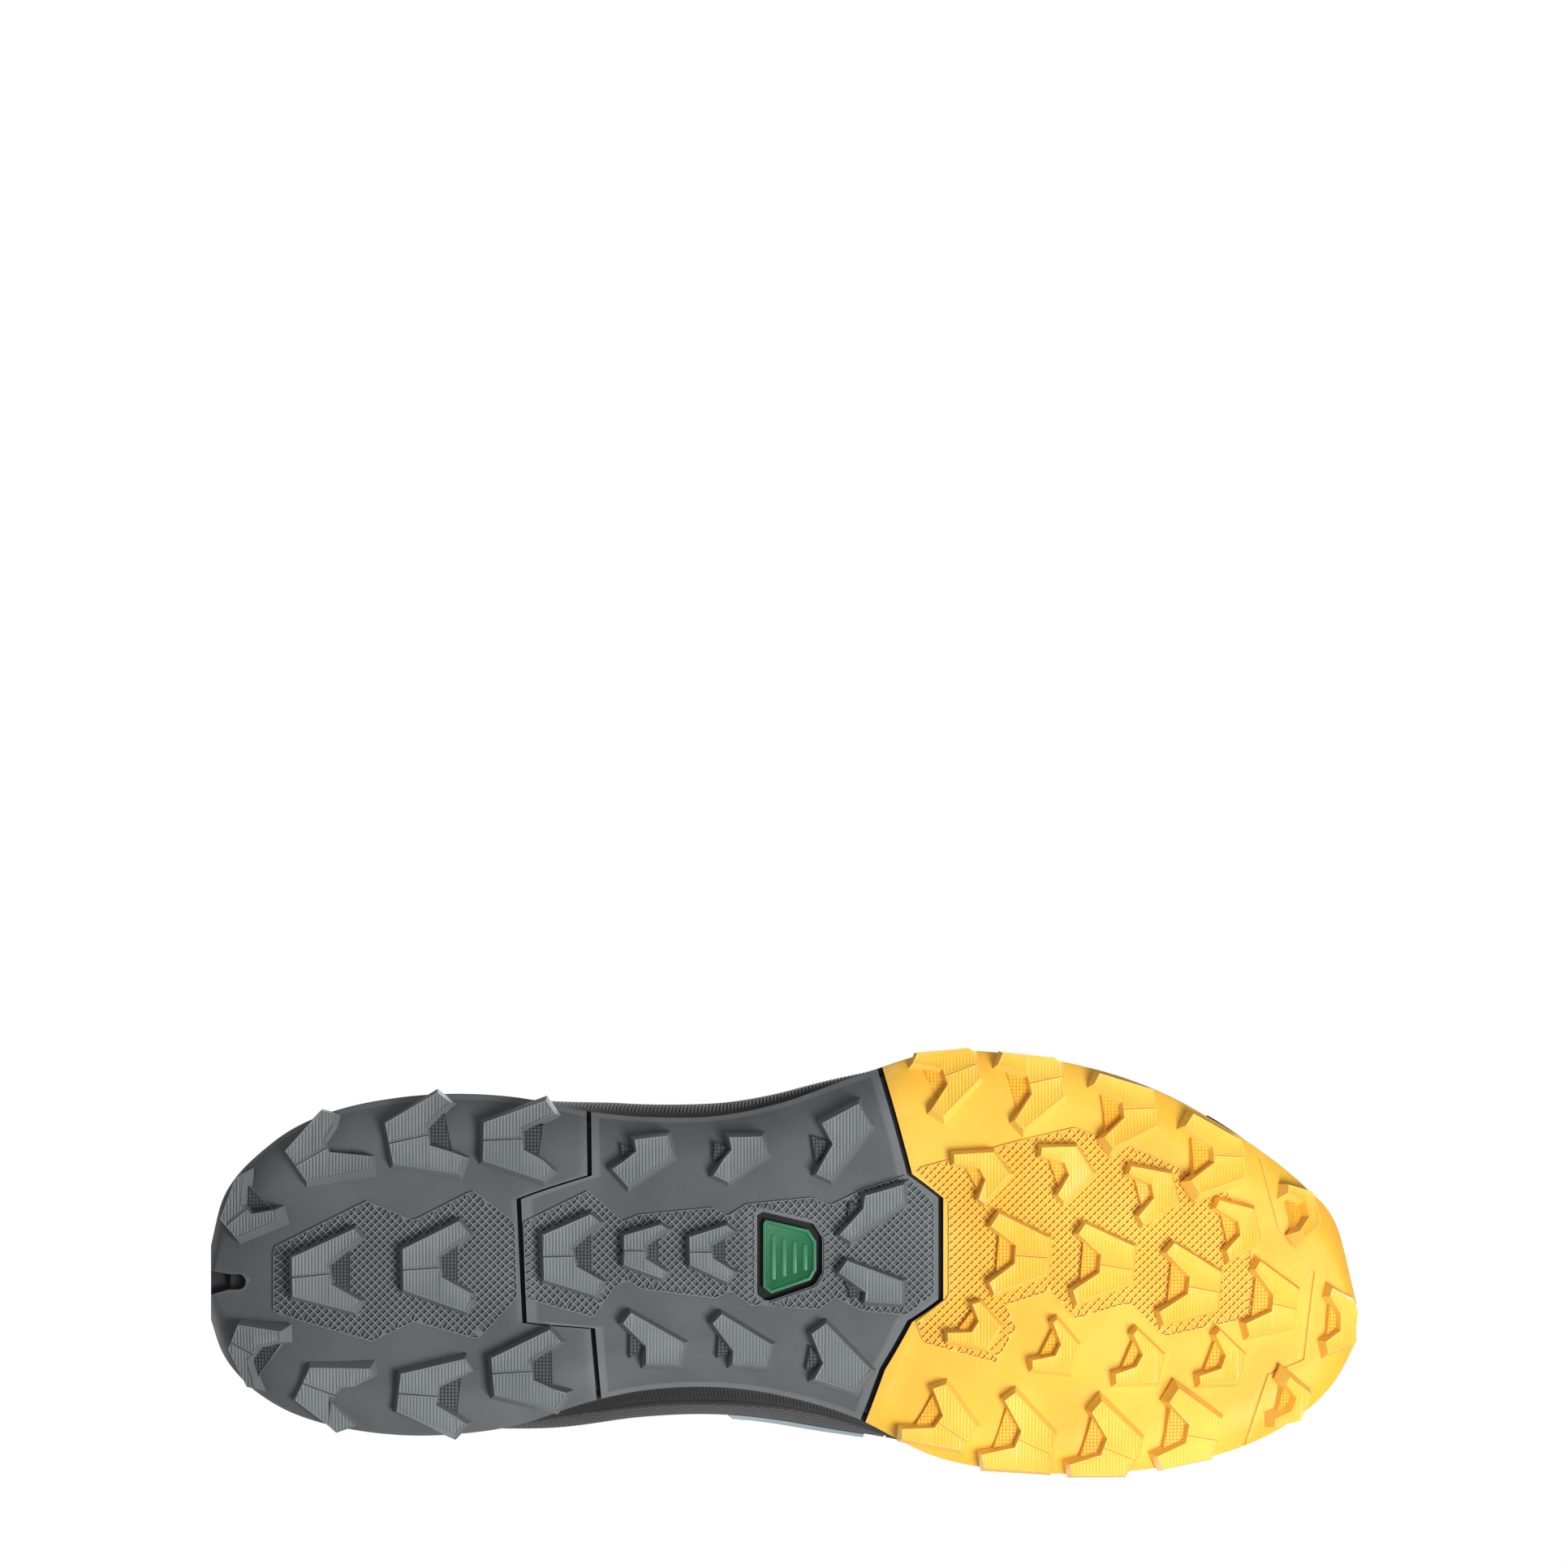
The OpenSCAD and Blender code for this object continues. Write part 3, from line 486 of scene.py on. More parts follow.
# Each lug: the outline of its top, the ends of the slit across it (or None), and the two
# ends of the low web's open edge
heelLugs = [
    ([(-145, -11.1), (-141, -21.4), (-138.9, -22.3), (-139.3, -14.4), (-136.6, -12.1), (-130.1, -13.1),
      (-129.3, -10.4), (-140.6, -5.8)], ((-143.2, -9.3), (-138.4, -13.2)), ((-138.9, -20), (-132, -13.4))),
    ([(-128, -28.5), (-120.7, -36.8), (-118.8, -38.8), (-115, -37.8), (-115.4, -34.9), (-118, -30.7),
      (-116.7, -28), (-106, -26.8), (-105.8, -23.2), (-122.4, -20.3)],
     ((-125.1, -24.7), (-118.2, -28.6)), ((-115, -35), (-109.8, -27.3))),
    ([(-102.3, -35.5), (-88.9, -43.4), (-85.6, -40.9), (-91.7, -34.6), (-91, -29.8), (-85, -27.9),
      (-81.5, -26.6), (-83.3, -22.2), (-100.2, -24.9)],
     ((-101.4, -30.2), (-92.4, -32.2)), ((-87.2, -38.6), (-85, -28))),
    ([(-77, -35.6), (-61.1, -41.3), (-58.8, -38), (-67.4, -33.8), (-66.9, -28.7), (-61.7, -25.8),
      (-59.1, -23.3), (-61.7, -20.6), (-77.2, -25.8)],
     ((-77, -31), (-68.1, -31.4)), ((-61.7, -35), (-63, -26.2))),
    ([(-126.3, -1), (-110.2, -8.3), (-108.5, -6), (-117.1, 0.9), (-116.1, 5.9), (-109.8, 9.5),
      (-108.5, 10.3), (-110.2, 13.2), (-126.1, 9)],
     ((-125.9, 4.2), (-117.7, 3.3)), ((-111.5, -3.4), (-111.5, 8.4))),
    ([(-97.8, -3.1), (-83.3, -10.3), (-80.6, -6.9), (-88.7, -1.2), (-87.9, 4), (-80.1, 8.4),
      (-79.7, 9.7), (-81.6, 13), (-97.6, 7.4)],
     ((-97.6, 2.3), (-89.4, 1.7)), ((-83.8, -4.4), (-83.8, 6.2))),
    ([(-140.2, 16.4), (-128.4, 17.7), (-128.4, 20.4), (-134.9, 22), (-137.9, 25.6), (-136, 32.9),
      (-138.3, 32.5), (-143.1, 22.9)], ((-142, 21.2), (-136.8, 23.7)), ((-129.1, 20.9), (-136.4, 30.5))),
    ([(-121.5, 27.1), (-106, 27.1), (-105.4, 29.4), (-110.2, 31.9), (-113.6, 32.3), (-116.3, 35.9),
      (-112.3, 40), (-110, 42.5), (-115, 44.4), (-117.1, 42.5), (-125.5, 35.9)],
     ((-123.2, 31.4), (-115.7, 34.2)), ((-108.7, 31.3), (-112.3, 39.8))),
    ([(-98.3, 28.9), (-81.8, 25), (-79.7, 28.1), (-88.7, 32.3), (-89.3, 36.9), (-83.9, 40.2),
      (-81.5, 41.9), (-84.5, 45.1), (-99.3, 38.6)],
     ((-98.9, 34), (-90, 34.6)), ((-82.8, 29.6), (-83.9, 40))),
    ([(-75.1, 24.9), (-60, 17.6), (-57.3, 20.6), (-65.1, 25.6), (-64.4, 30.4), (-59, 32.9),
      (-55.8, 33.8), (-58.5, 37.9), (-74.2, 34.4)],
     ((-74.5, 28.9), (-65.7, 28.3)), ((-59.6, 22.2), (-59.4, 32.6))),
]
midfootLugs = [
    ([(-38.3, -31.2), (-29.9, -32.2), (-28.2, -26.8), (-39.9, -19.1), (-44, -23.6), (-41, -25.6),
      (-37.8, -28.2)], None, ((-41.6, -30.1), (-41.4, -25.5))),
    ([(-14, -31.8), (-5.6, -32), (-3.9, -27.4), (-14.2, -20.3), (-17.9, -22.1), (-15.4, -26.1),
      (-13.3, -28.6)], None, ((-17.5, -30.4), (-17.9, -26))),
    ([(9.8, -35.4), (19.2, -40.4), (22.6, -34.7), (12.1, -20.7), (8.4, -22.4), (12.7, -30.1)],
     None, ((7.3, -32), (8.2, -25.6))),
    ([(-39.2, 13.3), (-25.5, 21), (-26.8, 26.6), (-35.3, 26.4), (-35.3, 21.8), (-41.2, 16)],
     None, ((-39.3, 19), (-39.4, 24.6))),
    ([(-15.9, 13.6), (-3.1, 21.4), (-4.5, 27.1), (-13.1, 26.4), (-12.9, 23.1), (-18.2, 16)],
     None, ((-16.6, 19), (-16.9, 24.6))),
    ([(10.9, 16), (22.6, 28), (18.3, 33.5), (8, 30.2), (10.2, 26.2), (7.2, 18.7)],
     None, ((6.9, 22), (5.9, 27.6))),
    ([(-61.9, -6.7), (-49.6, -12), (-47.2, -10), (-54.4, -3.4), (-53.3, 1.3), (-46.2, 5.3),
      (-48.5, 8.8), (-61.5, 4.8)], ((-61.7, -1.1), (-54.7, -1.3)), ((-49.6, -7.8), (-49.4, 3.5))),
    ([(-41, -6.6), (-31.6, -9.4), (-29.9, -8.3), (-35.6, -4.1), (-35.6, -0.8), (-30.1, 2.7),
      (-31.4, 4.4), (-41, 0.9)], ((-40.8, -2.7), (-36, -2.7)), ((-32.2, -6.6), (-32.2, 1.4))),
    ([(-24.2, -6.2), (-14.8, -9.2), (-12.9, -7.7), (-19, -4.1), (-18.2, -0.8), (-12.5, 2.8),
      (-14.6, 5.3), (-24, 0.9)], ((-24, -2.3), (-19.2, -2.3)), ((-15.2, -6.3), (-15, 1.2))),
    ([(20.9, -16.8), (30.7, -19.6), (31, -14.7), (17.1, -5.1), (14.4, -6.8), (20.5, -13.5)],
     None, ((17, -15.2), (16.2, -9.6))),
    ([(16.3, -0.1), (30.7, 5.2), (30.3, 11), (20.9, 10.4), (21.1, 7.9), (14.2, 2.9)],
     None, ((16, 5.4), (17.2, 9.4))),
]
forefootLugs = [
    ([(34.3, -53.6), (47.3, -54.9), (48.6, -54.2), (50.5, -47), (41, -37), (38, -38.7), (42.2, -45.4),
      (40.8, -49.6), (33.2, -51)], ((41.7, -47.9), (49, -50.7)), ((35.8, -50.2), (39.6, -41.2))),
    ([(56.3, -53.6), (69.6, -52.3), (70.7, -51.5), (72.3, -42.5), (61.6, -33.6), (59.3, -36),
      (63.8, -43), (62.6, -47.8), (55, -50.5)], ((63.4, -45.9), (70.7, -47.5)), ((57.2, -49.7), (60.4, -38))),
    ([(81.2, -48.3), (95, -44.3), (96.3, -35), (84.3, -28.8), (82.2, -31.7), (87.5, -36.9), (87, -41),
      (79.7, -45.5)], ((87.5, -39.2), (94.6, -39.6)), ((81.8, -44.2), (83.2, -32.8))),
    ([(105.3, -38), (117.5, -31.5), (118.7, -29.5), (118.6, -21.5), (106.5, -17), (104.2, -20.5),
      (110.6, -25.3), (110.2, -29.6), (103.2, -34.8)],
     ((110.7, -27.4), (117.6, -27.2)), ((105.2, -33.3), (105.8, -21.8))),
    ([(129.6, -19.7), (136.5, -18.2), (138.6, -11), (138.4, -9.7), (133.2, -5.9), (132, -7.5),
      (135, -11.6), (134, -15.5), (129.3, -17.5)], None, ((130, -17.2), (132.6, -8.3))),
    ([(140.8, 6.8), (146.9, 10.6), (147.6, 12.8), (146.7, 21.1), (139.7, 23.6), (139, 20.7),
      (143, 17.8), (143, 13.4), (140.2, 9)], None, ((140.8, 9.9), (140, 20))),
    ([(129.2, 29.3), (136, 34.5), (133.4, 41.6), (130, 42), (126.3, 42.8), (126, 40.5), (130.6, 38.7),
      (131.7, 35.3), (128.5, 31)], None, ((129.2, 31.9), (127.4, 40))),
    ([(43.7, -27.4), (53.8, -28), (57.8, -22.4), (51.5, -14.8), (50, -16), (51.8, -20.9), (50.2, -23.9),
      (43.8, -25.2)], None, ((46.3, -24.7), (50.5, -17.2))),
    ([(66.3, -29.2), (75.1, -29.4), (79.5, -22.5), (72, -15.4), (70.4, -17), (73.4, -22.1),
      (72.1, -25.4), (66.1, -27.2)], None, ((68, -26.6), (71.1, -18.2))),
    ([(89.3, -24.4), (99.5, -22.5), (101.3, -15.2), (92.4, -9.5), (91.2, -11.6), (95.1, -16.2),
      (94.4, -19.8), (88.6, -22.5)], None, ((90.2, -21.8), (92.4, -13))),
    ([(111.8, -15.6), (120.8, -13.4), (122.6, -5.1), (114.5, -0.3), (113.7, -2.8), (117.3, -6.7),
      (116.7, -10.3), (111, -13.7)], None, ((112.2, -13), (114.6, -3.8))),
    ([(55.4, -12.3), (68, -6), (67.4, 3.3), (54, 8.3), (52.8, 5.5), (59.3, 0.6), (59.6, -4.1),
      (53.2, -9)], ((59.8, -1.5), (66.1, -1)), ((55.4, -7.4), (54.6, 4.1))),
    ([(77.5, -9.6), (90, -3.8), (89.3, 5.3), (75.3, 10.9), (74.3, 7.5), (81.1, 3), (81.5, -1.7),
      (75.7, -7)], ((81.7, 0.9), (88.1, 1.9)), ((77.2, -5.6), (76.3, 6.2))),
    ([(100.3, -4.6), (112.4, 2.8), (111.3, 12.2), (97.5, 16), (96.5, 13), (103.8, 8.4), (104.3, 4),
      (98.3, -2.2)], ((104.4, 6.5), (110.7, 7.7)), ((100, -0.5), (98.8, 11.6))),
    ([(122.3, 0), (132.5, 7.3), (131.2, 16.7), (119.5, 19.2), (118.6, 16), (125.4, 12.9), (125.8, 8.7),
      (121, 2.2)], ((125.8, 10.9), (131.7, 12.2)), ((121.8, 3.3), (120.4, 15.2))),
    ([(50.3, 10.5), (55.5, 16.5), (52.2, 22.5), (42.2, 20.5), (42, 18.4), (48.3, 18.2), (50.1, 15.4),
      (48.4, 11)], None, ((48.9, 12.2), (44.3, 18.3))),
    ([(70.2, 15), (75.5, 21.3), (73.3, 28.7), (64, 27.6), (63.8, 25.5), (69.8, 24.3), (71.3, 21.3),
      (69.2, 15.8)], None, ((69.6, 16.9), (65.5, 25.1))),
    ([(90.8, 17.6), (97.5, 24), (95.8, 31.1), (85.4, 31.3), (85.2, 29), (90.6, 27.1), (92.3, 24),
      (89.8, 18.8)], None, ((90.3, 19.9), (86.6, 28.5))),
    ([(112, 17.8), (118.5, 24), (116.6, 31.3), (107, 31.5), (106.7, 29.5), (112.4, 27.6), (113.6, 24.2),
      (111, 19)], None, ((111.4, 19.9), (108, 29))),
    ([(41.6, 31.6), (49.6, 42.5), (45.2, 48.5), (30.3, 45.7), (30.4, 43.1), (38.7, 42.8), (41, 39.7),
      (38.4, 32.7)], ((40.1, 41.8), (46.8, 46.2)), ((38.8, 33.8), (33.4, 43))),
    ([(59.5, 33.7), (69.6, 44.5), (67.6, 54.2), (51.6, 53.2), (50.8, 49.7), (59.4, 47.9), (61.1, 43.7),
      (56.8, 35.7)], ((60.4, 45.8), (67.6, 49.2)), ((57.6, 37.2), (53.6, 49.1))),
    ([(81.6, 35.8), (92, 45.7), (91, 49.8), (87.5, 55.2), (74.2, 55.2), (73.4, 52.3), (81.5, 49.9),
      (83.1, 45.6), (79.1, 38.7)], ((82.5, 48), (89.2, 50.8)), ((79.7, 39.8), (76.2, 51.5))),
    ([(101.2, 32.5), (112.6, 40.7), (110.2, 50.9), (97.6, 53.4), (95.8, 50.2), (103.3, 46.8),
      (104.2, 42), (98.8, 36.2)], ((104, 44.8), (111.2, 46.1)), ((99.7, 37.2), (97.8, 49.3))),
]
lugLook = {
    "flare": 1.25,       # how far the foot of a lug spreads
    "edge": 0.28,        # rounding of the top edge
    "slit": 0.34,        # width of the slit
    "rim": 0.35,         # plain rim around the ribs
    "pitch": 0.85,       # spacing of the ribs
    "ribs": 0.26,        # depth between the ribs on the heel and midfoot
    "foreRibs": 0.2,     # the same on the forefoot
    "web": 1.7,          # height of the low web
    "webPitch": 0.9,     # spacing of its grid
    "sink": 0.9,         # how far a lug reaches into the base
}


def middle(outline):
    return Vector([(min(p[k] for p in outline) + max(p[k] for p in outline)) / 2 for k in (0, 1)])


def standOnSole(bm, outline, height):
    # turns a solid made flat over the ground square to the base, its top where it was drawn,
    # and lifts it where a tilted corner would dip below the ground
    c = middle(outline)
    n = baseNormal(*c)
    x, y = c.x + height * n.x, c.y + height * n.y
    topZ = baseZ(x, y) - height * n.z
    dip = min(topZ - (Vector(p) - c).dot(n.xy) / n.z for p in outline)
    turn = Vector((0, 0, 1)).rotation_difference(n).to_matrix().to_4x4()
    lift = max(0, -dip)
    place = Matrix.Translation((x, y, baseZ(x, y) + lift)) @ turn @ Matrix.Translation((-c.x, -c.y, 0))
    bmesh.ops.transform(bm, matrix=place, verts=bm.verts)


def raiseSolid(bm, face, flare, depth):
    # a solid from a flat top face to the given depth, its foot spread outwards
    rise = depth - face.verts[0].co.z
    down = bmesh.ops.extrude_face_region(bm, geom=[face], use_keep_orig=True)["geom"]
    foot = [g for g in down if isinstance(g, bmesh.types.BMVert)]
    bmesh.ops.translate(bm, vec=(0, 0, rise), verts=foot)
    bmesh.ops.recalc_face_normals(bm, faces=bm.faces)
    moves = []
    for vert in foot:
        a, b = [f.normal for f in vert.link_faces if abs(f.normal.z) < 0.5][:2]
        out = (a + b) / max(0.4, 1 + a.dot(b))
        moves.append((vert, out * flare))
    for vert, move in moves:
        vert.co += move


def ribTop(bm, face, pitch, depth):
    bmesh.ops.inset_region(bm, faces=[face], thickness=lugLook["rim"])
    inner = [face]
    low = min(v.co.x for v in face.verts)
    high = max(v.co.x for v in face.verts)
    sunk = set()
    count = int((high - low) / pitch * 2)
    for k in range(1, count + 1):
        x = low + k * pitch / 2
        around = {e for f in inner for e in f.edges}
        spots = {v for f in inner for v in f.verts}
        cut = bmesh.ops.bisect_plane(bm, geom=list(inner) + list(around) + list(spots),
                                     plane_co=(x, 0, 0), plane_no=(1, 0, 0))
        inner = [g for g in cut["geom"] if isinstance(g, bmesh.types.BMFace)]
        if k % 2:
            sunk |= {g for g in cut["geom_cut"] if isinstance(g, bmesh.types.BMVert)}
    for vert in sunk:
        vert.co.z += depth


def lugSolid(outline, slit, ribs):
    bm = bmesh.new()
    bm.faces.new([bm.verts.new((x, y, -sole["lug"])) for x, y in outline])
    if slit:
        a, b = Vector(slit[0]), Vector(slit[1])
        across = Vector((b.y - a.y, a.x - b.x)).normalized()
        plane = Vector((across.x, across.y, 0))
        cut = bmesh.ops.bisect_plane(bm, geom=bm.verts[:] + bm.edges[:] + bm.faces[:],
                                     plane_co=(a.x, a.y, 0), plane_no=plane)
        seam = [g for g in cut["geom_cut"] if isinstance(g, bmesh.types.BMEdge)]
        bmesh.ops.split_edges(bm, edges=seam)
        for face in bm.faces:
            side = 1 if (face.calc_center_median() - Vector((a.x, a.y, 0))).dot(plane) > 0 else -1
            for vert in face.verts:
                if abs((vert.co - Vector((a.x, a.y, 0))).dot(plane)) < 0.01:
                    vert.co += plane * side * lugLook["slit"] / 2
    whole = bmesh.new()
    for face in bm.faces:
        if face.calc_area() < 1:
            continue
        half = bmesh.new()
        lid = half.faces.new([half.verts.new(v.co) for v in face.verts])
        raiseSolid(half, lid, lugLook["flare"], lugLook["sink"])
        ribTop(half, lid, lugLook["pitch"], ribs)
        # the faces of the lug's top get material 2, the lighter copy of the rubber: painted highlight
        for rib in half.faces:
            if rib.calc_center_median().z < ribs - sole["lug"]:
                rib.material_index = 2
        joinInto(whole, half)
    bm.free()
    edges = [e for e in whole.edges if isTopEdge(e)]
    bmesh.ops.bevel(whole, geom=edges, offset=lugLook["edge"], segments=2, profile=0.5,
                    affect="EDGES", material=-1, clamp_overlap=True)
    standOnSole(whole, outline, sole["lug"])
    return whole


def isTopEdge(edge):
    # the corner between a lug's flat top and its side walls
    if len(edge.link_faces) != 2 or abs(edge.verts[0].co.z + sole["lug"]) > 0.001:
        return False
    return abs(edge.verts[1].co.z + sole["lug"]) < 0.001 and edge.calc_face_angle(0) > 0.6


def webSolid(outline, web, ribs):
    # the low grid-patterned floor between a lug's two prongs
    first, last = Vector(web[0]), Vector(web[1])
    n = len(outline)
    turn = sum(outline[i - 1][0] * outline[i][1] - outline[i][0] * outline[i - 1][1] for i in range(n))
    notch = []
    for i in range(n):
        a, b, c = (Vector(outline[k % n]) for k in (i - 1, i, i + 1))
        if (b - a).cross(c - b) * turn < 0:
            notch.append(b)
    notch.sort(key=lambda p: (p - first).length)
    reach = [p + (p - (first + last) / 2).normalized() * 0.4 for p in notch]
    bm = bmesh.new()
    spots = [first] + reach + [last]
    face = bm.faces.new([bm.verts.new((p.x, p.y, -lugLook["web"])) for p in spots])
    raiseSolid(bm, face, 0.35, lugLook["sink"])
    inner = [face]
    for axis in (0, 1):
        low = min(p[axis] for p in spots)
        high = max(p[axis] for p in spots)
        plane = (1, 0, 0) if axis == 0 else (0, 1, 0)
        for k in range(1, int((high - low) / lugLook["webPitch"]) + 1):
            at = low + k * lugLook["webPitch"]
            geom = {e for f in inner for e in f.edges} | {v for f in inner for v in f.verts} | set(inner)
            cut = bmesh.ops.bisect_plane(bm, geom=list(geom), plane_co=(at, at, 0), plane_no=plane)
            inner = [g for g in cut["geom"] if isinstance(g, bmesh.types.BMFace)]
    bmesh.ops.inset_individual(bm, faces=inner, thickness=0.14, depth=-ribs * 1.2)
    standOnSole(bm, outline, sole["lug"])
    return bm


latticeLook = {
    "pitch": 2.1,        # spacing of the pits along the shoe and across it
    "rise": 0.55,        # height of the raised field
    "depth": 1.0,        # depth of a pit
    "bar": 0.24,         # half width of the bars between pits
    "drop": 1.2,         # thickness of the field's solid
}
heelField = [(-131, -3.5), (-107, -15.5), (-95, -10.5), (-79.7, -18.2), (-69, -10), (-68.3, 9),
             (-78.5, 20.1), (-95, 15.5), (-105.7, 20.6), (-131, 13.3)]
midfootField = [
    (-66.8, -10), (-50.2, -18.1), (-41.3, -10.3), (-37, -12), (-18, -13.8), (-14.5, -11.6), (-9.5, -14.7),
    (7.5, -16.4), (12, -14.4), (20, -18.3), (31.5, -22.1), (38.7, -14.8), (38.7, 8.2), (31.5, 13.9),
    (20, 12.7), (13.2, 9.3), (9, 12.4), (-8.4, 11.3), (-13.8, 7.7), (-17.5, 9.5), (-36.5, 7.2),
    (-40, 5), (-43.5, 6.6), (-48.8, 14.4), (-66.2, 9.6)]
forefootField = [
    (33.6, -23.6), (60, -30.8), (74.6, -34.3), (88.3, -29.7), (113.4, -19), (115.5, -15), (119.8, -3.5),
    (121.3, 4.5), (119.5, 14.6), (97.6, 19.4), (89.5, 11.2), (87, 11.2), (74.7, 14.9), (68.5, 7.6),
    (57, 11.3), (59.8, 17), (54.4, 26.1), (36, 21.1), (34, 15.7), (42.4, 9.2), (42.4, -15)]


def latticeField(outline, holes=()):
    # a raised field of small square pits set corner to corner, trimmed to its outline
    cell = latticeLook["pitch"] / math.sqrt(2)
    c = middle(outline)
    reach = max((Vector(p) - c).length for p in outline) + 2 * cell
    count = int(2 * reach / cell)
    bm = bmesh.new()
    bmesh.ops.create_grid(bm, x_segments=count, y_segments=count, size=count * cell / 2)
    bmesh.ops.rotate(bm, cent=(0, 0, 0), matrix=Matrix.Rotation(math.pi / 4, 3, "Z"), verts=bm.verts)
    bmesh.ops.translate(bm, vec=(c.x, c.y, 0), verts=bm.verts)
    outside = []
    for face in bm.faces:
        x, y, _ = face.calc_center_median()
        if not insideOutline(x, y, outline) or any(insideOutline(x, y, hole) for hole in holes):
            outside.append(face)
    bmesh.ops.delete(bm, geom=outside, context="FACES")
    for vert in bm.verts:
        if vert.is_boundary:
            p = vert.co.to_2d()
            options = [nearestOnOutline(p, line) for line in (outline, *holes)]
            q = min(options, key=lambda o: (o - p).length)
            vert.co.x, vert.co.y = q
    bmesh.ops.dissolve_degenerate(bm, dist=0.05, edges=bm.edges)
    for vert in bm.verts:
        vert.co.z = baseZ(vert.co.x, vert.co.y) - latticeLook["rise"]
    cells = list(bm.faces)
    bmesh.ops.recalc_face_normals(bm, faces=bm.faces)
    if cells[0].normal.z > 0:
        bmesh.ops.reverse_faces(bm, faces=bm.faces)
    up = bmesh.ops.extrude_face_region(bm, geom=cells, use_keep_orig=True)["geom"]
    bmesh.ops.translate(bm, vec=(0, 0, latticeLook["drop"]),
                        verts=[v for v in up if isinstance(v, bmesh.types.BMVert)])
    bmesh.ops.recalc_face_normals(bm, faces=bm.faces)
    pits = [f for f in cells if f.is_valid and len(f.verts) == 4 and f.calc_area() > 1.1]
    bars = bmesh.ops.inset_individual(bm, faces=pits, thickness=latticeLook["bar"], depth=0)["faces"]
    # the bars between the pits get material 2, the lighter copy of the rubber: painted highlight
    for face in bars:
        face.material_index = 2
    walls = bmesh.ops.inset_individual(bm, faces=pits, thickness=0.12, depth=-latticeLook["depth"])["faces"]
    # the pits and their walls get material 1, the darker copy of the rubber: painted shade
    for face in pits + walls:
        face.material_index = 1
    return bm


toeLine = {
    "path": [(121.2, -28), (122, -26), (126.8, -8.2), (136, 2.7), (135, 10.6), (133.3, 25.1), (124.1, 29),
             (118.1, 47)],
    "width": 0.7,
    "depth": 0.5,
    "steps": 8,
}


def toeGroove():
    # a thin channel that follows the path across the toe
    corners = [Vector(p) for p in toeLine["path"]]
    steps = toeLine["steps"]
    path = [a.lerp(b, k / steps) for a, b in zip(corners, corners[1:]) for k in range(steps)] + corners[-1:]
    sides = ([], [])
    for i, p in enumerate(path):
        ahead = (path[min(len(path) - 1, i + 1)] - path[max(0, i - 1)]).normalized()
        across = Vector((-ahead.y, ahead.x)) * toeLine["width"] / 2
        sides[0].append((p + across, p))
        sides[1].insert(0, (p - across, p))
    bm = bmesh.new()
    lid = bm.faces.new([bm.verts.new((q.x, q.y, baseZ(*p) + toeLine["depth"]))
                        for q, p in sides[0] + sides[1]])
    down = bmesh.ops.extrude_face_region(bm, geom=[lid])["geom"]
    bmesh.ops.translate(bm, vec=(0, 0, -6), verts=[v for v in down if isinstance(v, bmesh.types.BMVert)])
    bmesh.ops.triangulate(bm, faces=bm.faces)
    bmesh.ops.recalc_face_normals(bm, faces=bm.faces)
    return bm


badge = {
    "outline": [(-4.8, -11), (6.6, -8.3), (8.6, -5.2), (8.6, 2.3), (7, 5), (-3.3, 8.6), (-5.5, 7),
                (-5.5, -10)],
    "centre": (1.5, -1),
    "frame": 1.5,        # width of the dark frame
}


def badgeOutline(grow):
    c = Vector(badge["centre"])
    return [tuple(c + (Vector(p) - c) * (1 + grow / 8)) for p in badge["outline"]]


def addTread(bm, lugs, ribs):
    for outline, slit, web in lugs:
        joinInto(bm, lugSolid(outline, slit, ribs))
        if web:
            joinInto(bm, webSolid(outline, web, ribs))


def buildOutsoles():
    turn = [math.pi * k / 8 for k in range(9)]
    notch = [(-150, 1.8), (-142.5, 3.3)] + [(-140 + 2 * math.sin(a), 5.3 - 2 * math.cos(a)) for a in turn]
    notch += [(-142.5, 7.3), (-150, 9.4)]
    bm = rubberPad(endsAt(-147), shifted(heelJoint, -0.6), -1, 70, notch)
    addTread(bm, heelLugs, lugLook["ribs"])
    joinInto(bm, latticeField(heelField))
    finishPiece(bm, "heelOutsole", greyParts, "shoe", ["outsole_heel"])
    print("outsole: heel pad")

    bm = rubberPad(shifted(heelJoint, 0.6), shifted(flexJoint, -sole["joint"]), 0, 64,
                   badgeOutline(badge["frame"]))
    addTread(bm, midfootLugs, lugLook["ribs"])
    joinInto(bm, latticeField(midfootField, [badgeOutline(badge["frame"] + 0.6)]))
    finishPiece(bm, "midfootOutsole", greyParts, "flex", ["outsole_midfoot"])
    print("outsole: midfoot pad")

    bm = cutAway(rubberPad(flexJoint, endsAt(147), 1, 80), toeGroove())
    addTread(bm, forefootLugs, lugLook["foreRibs"])
    joinInto(bm, latticeField(forefootField))
    finishPiece(bm, "forefootOutsole", yellowParts, "flex", ["outsole_forefoot"])
    print("outsole: forefoot pad")


buildOutsoles()


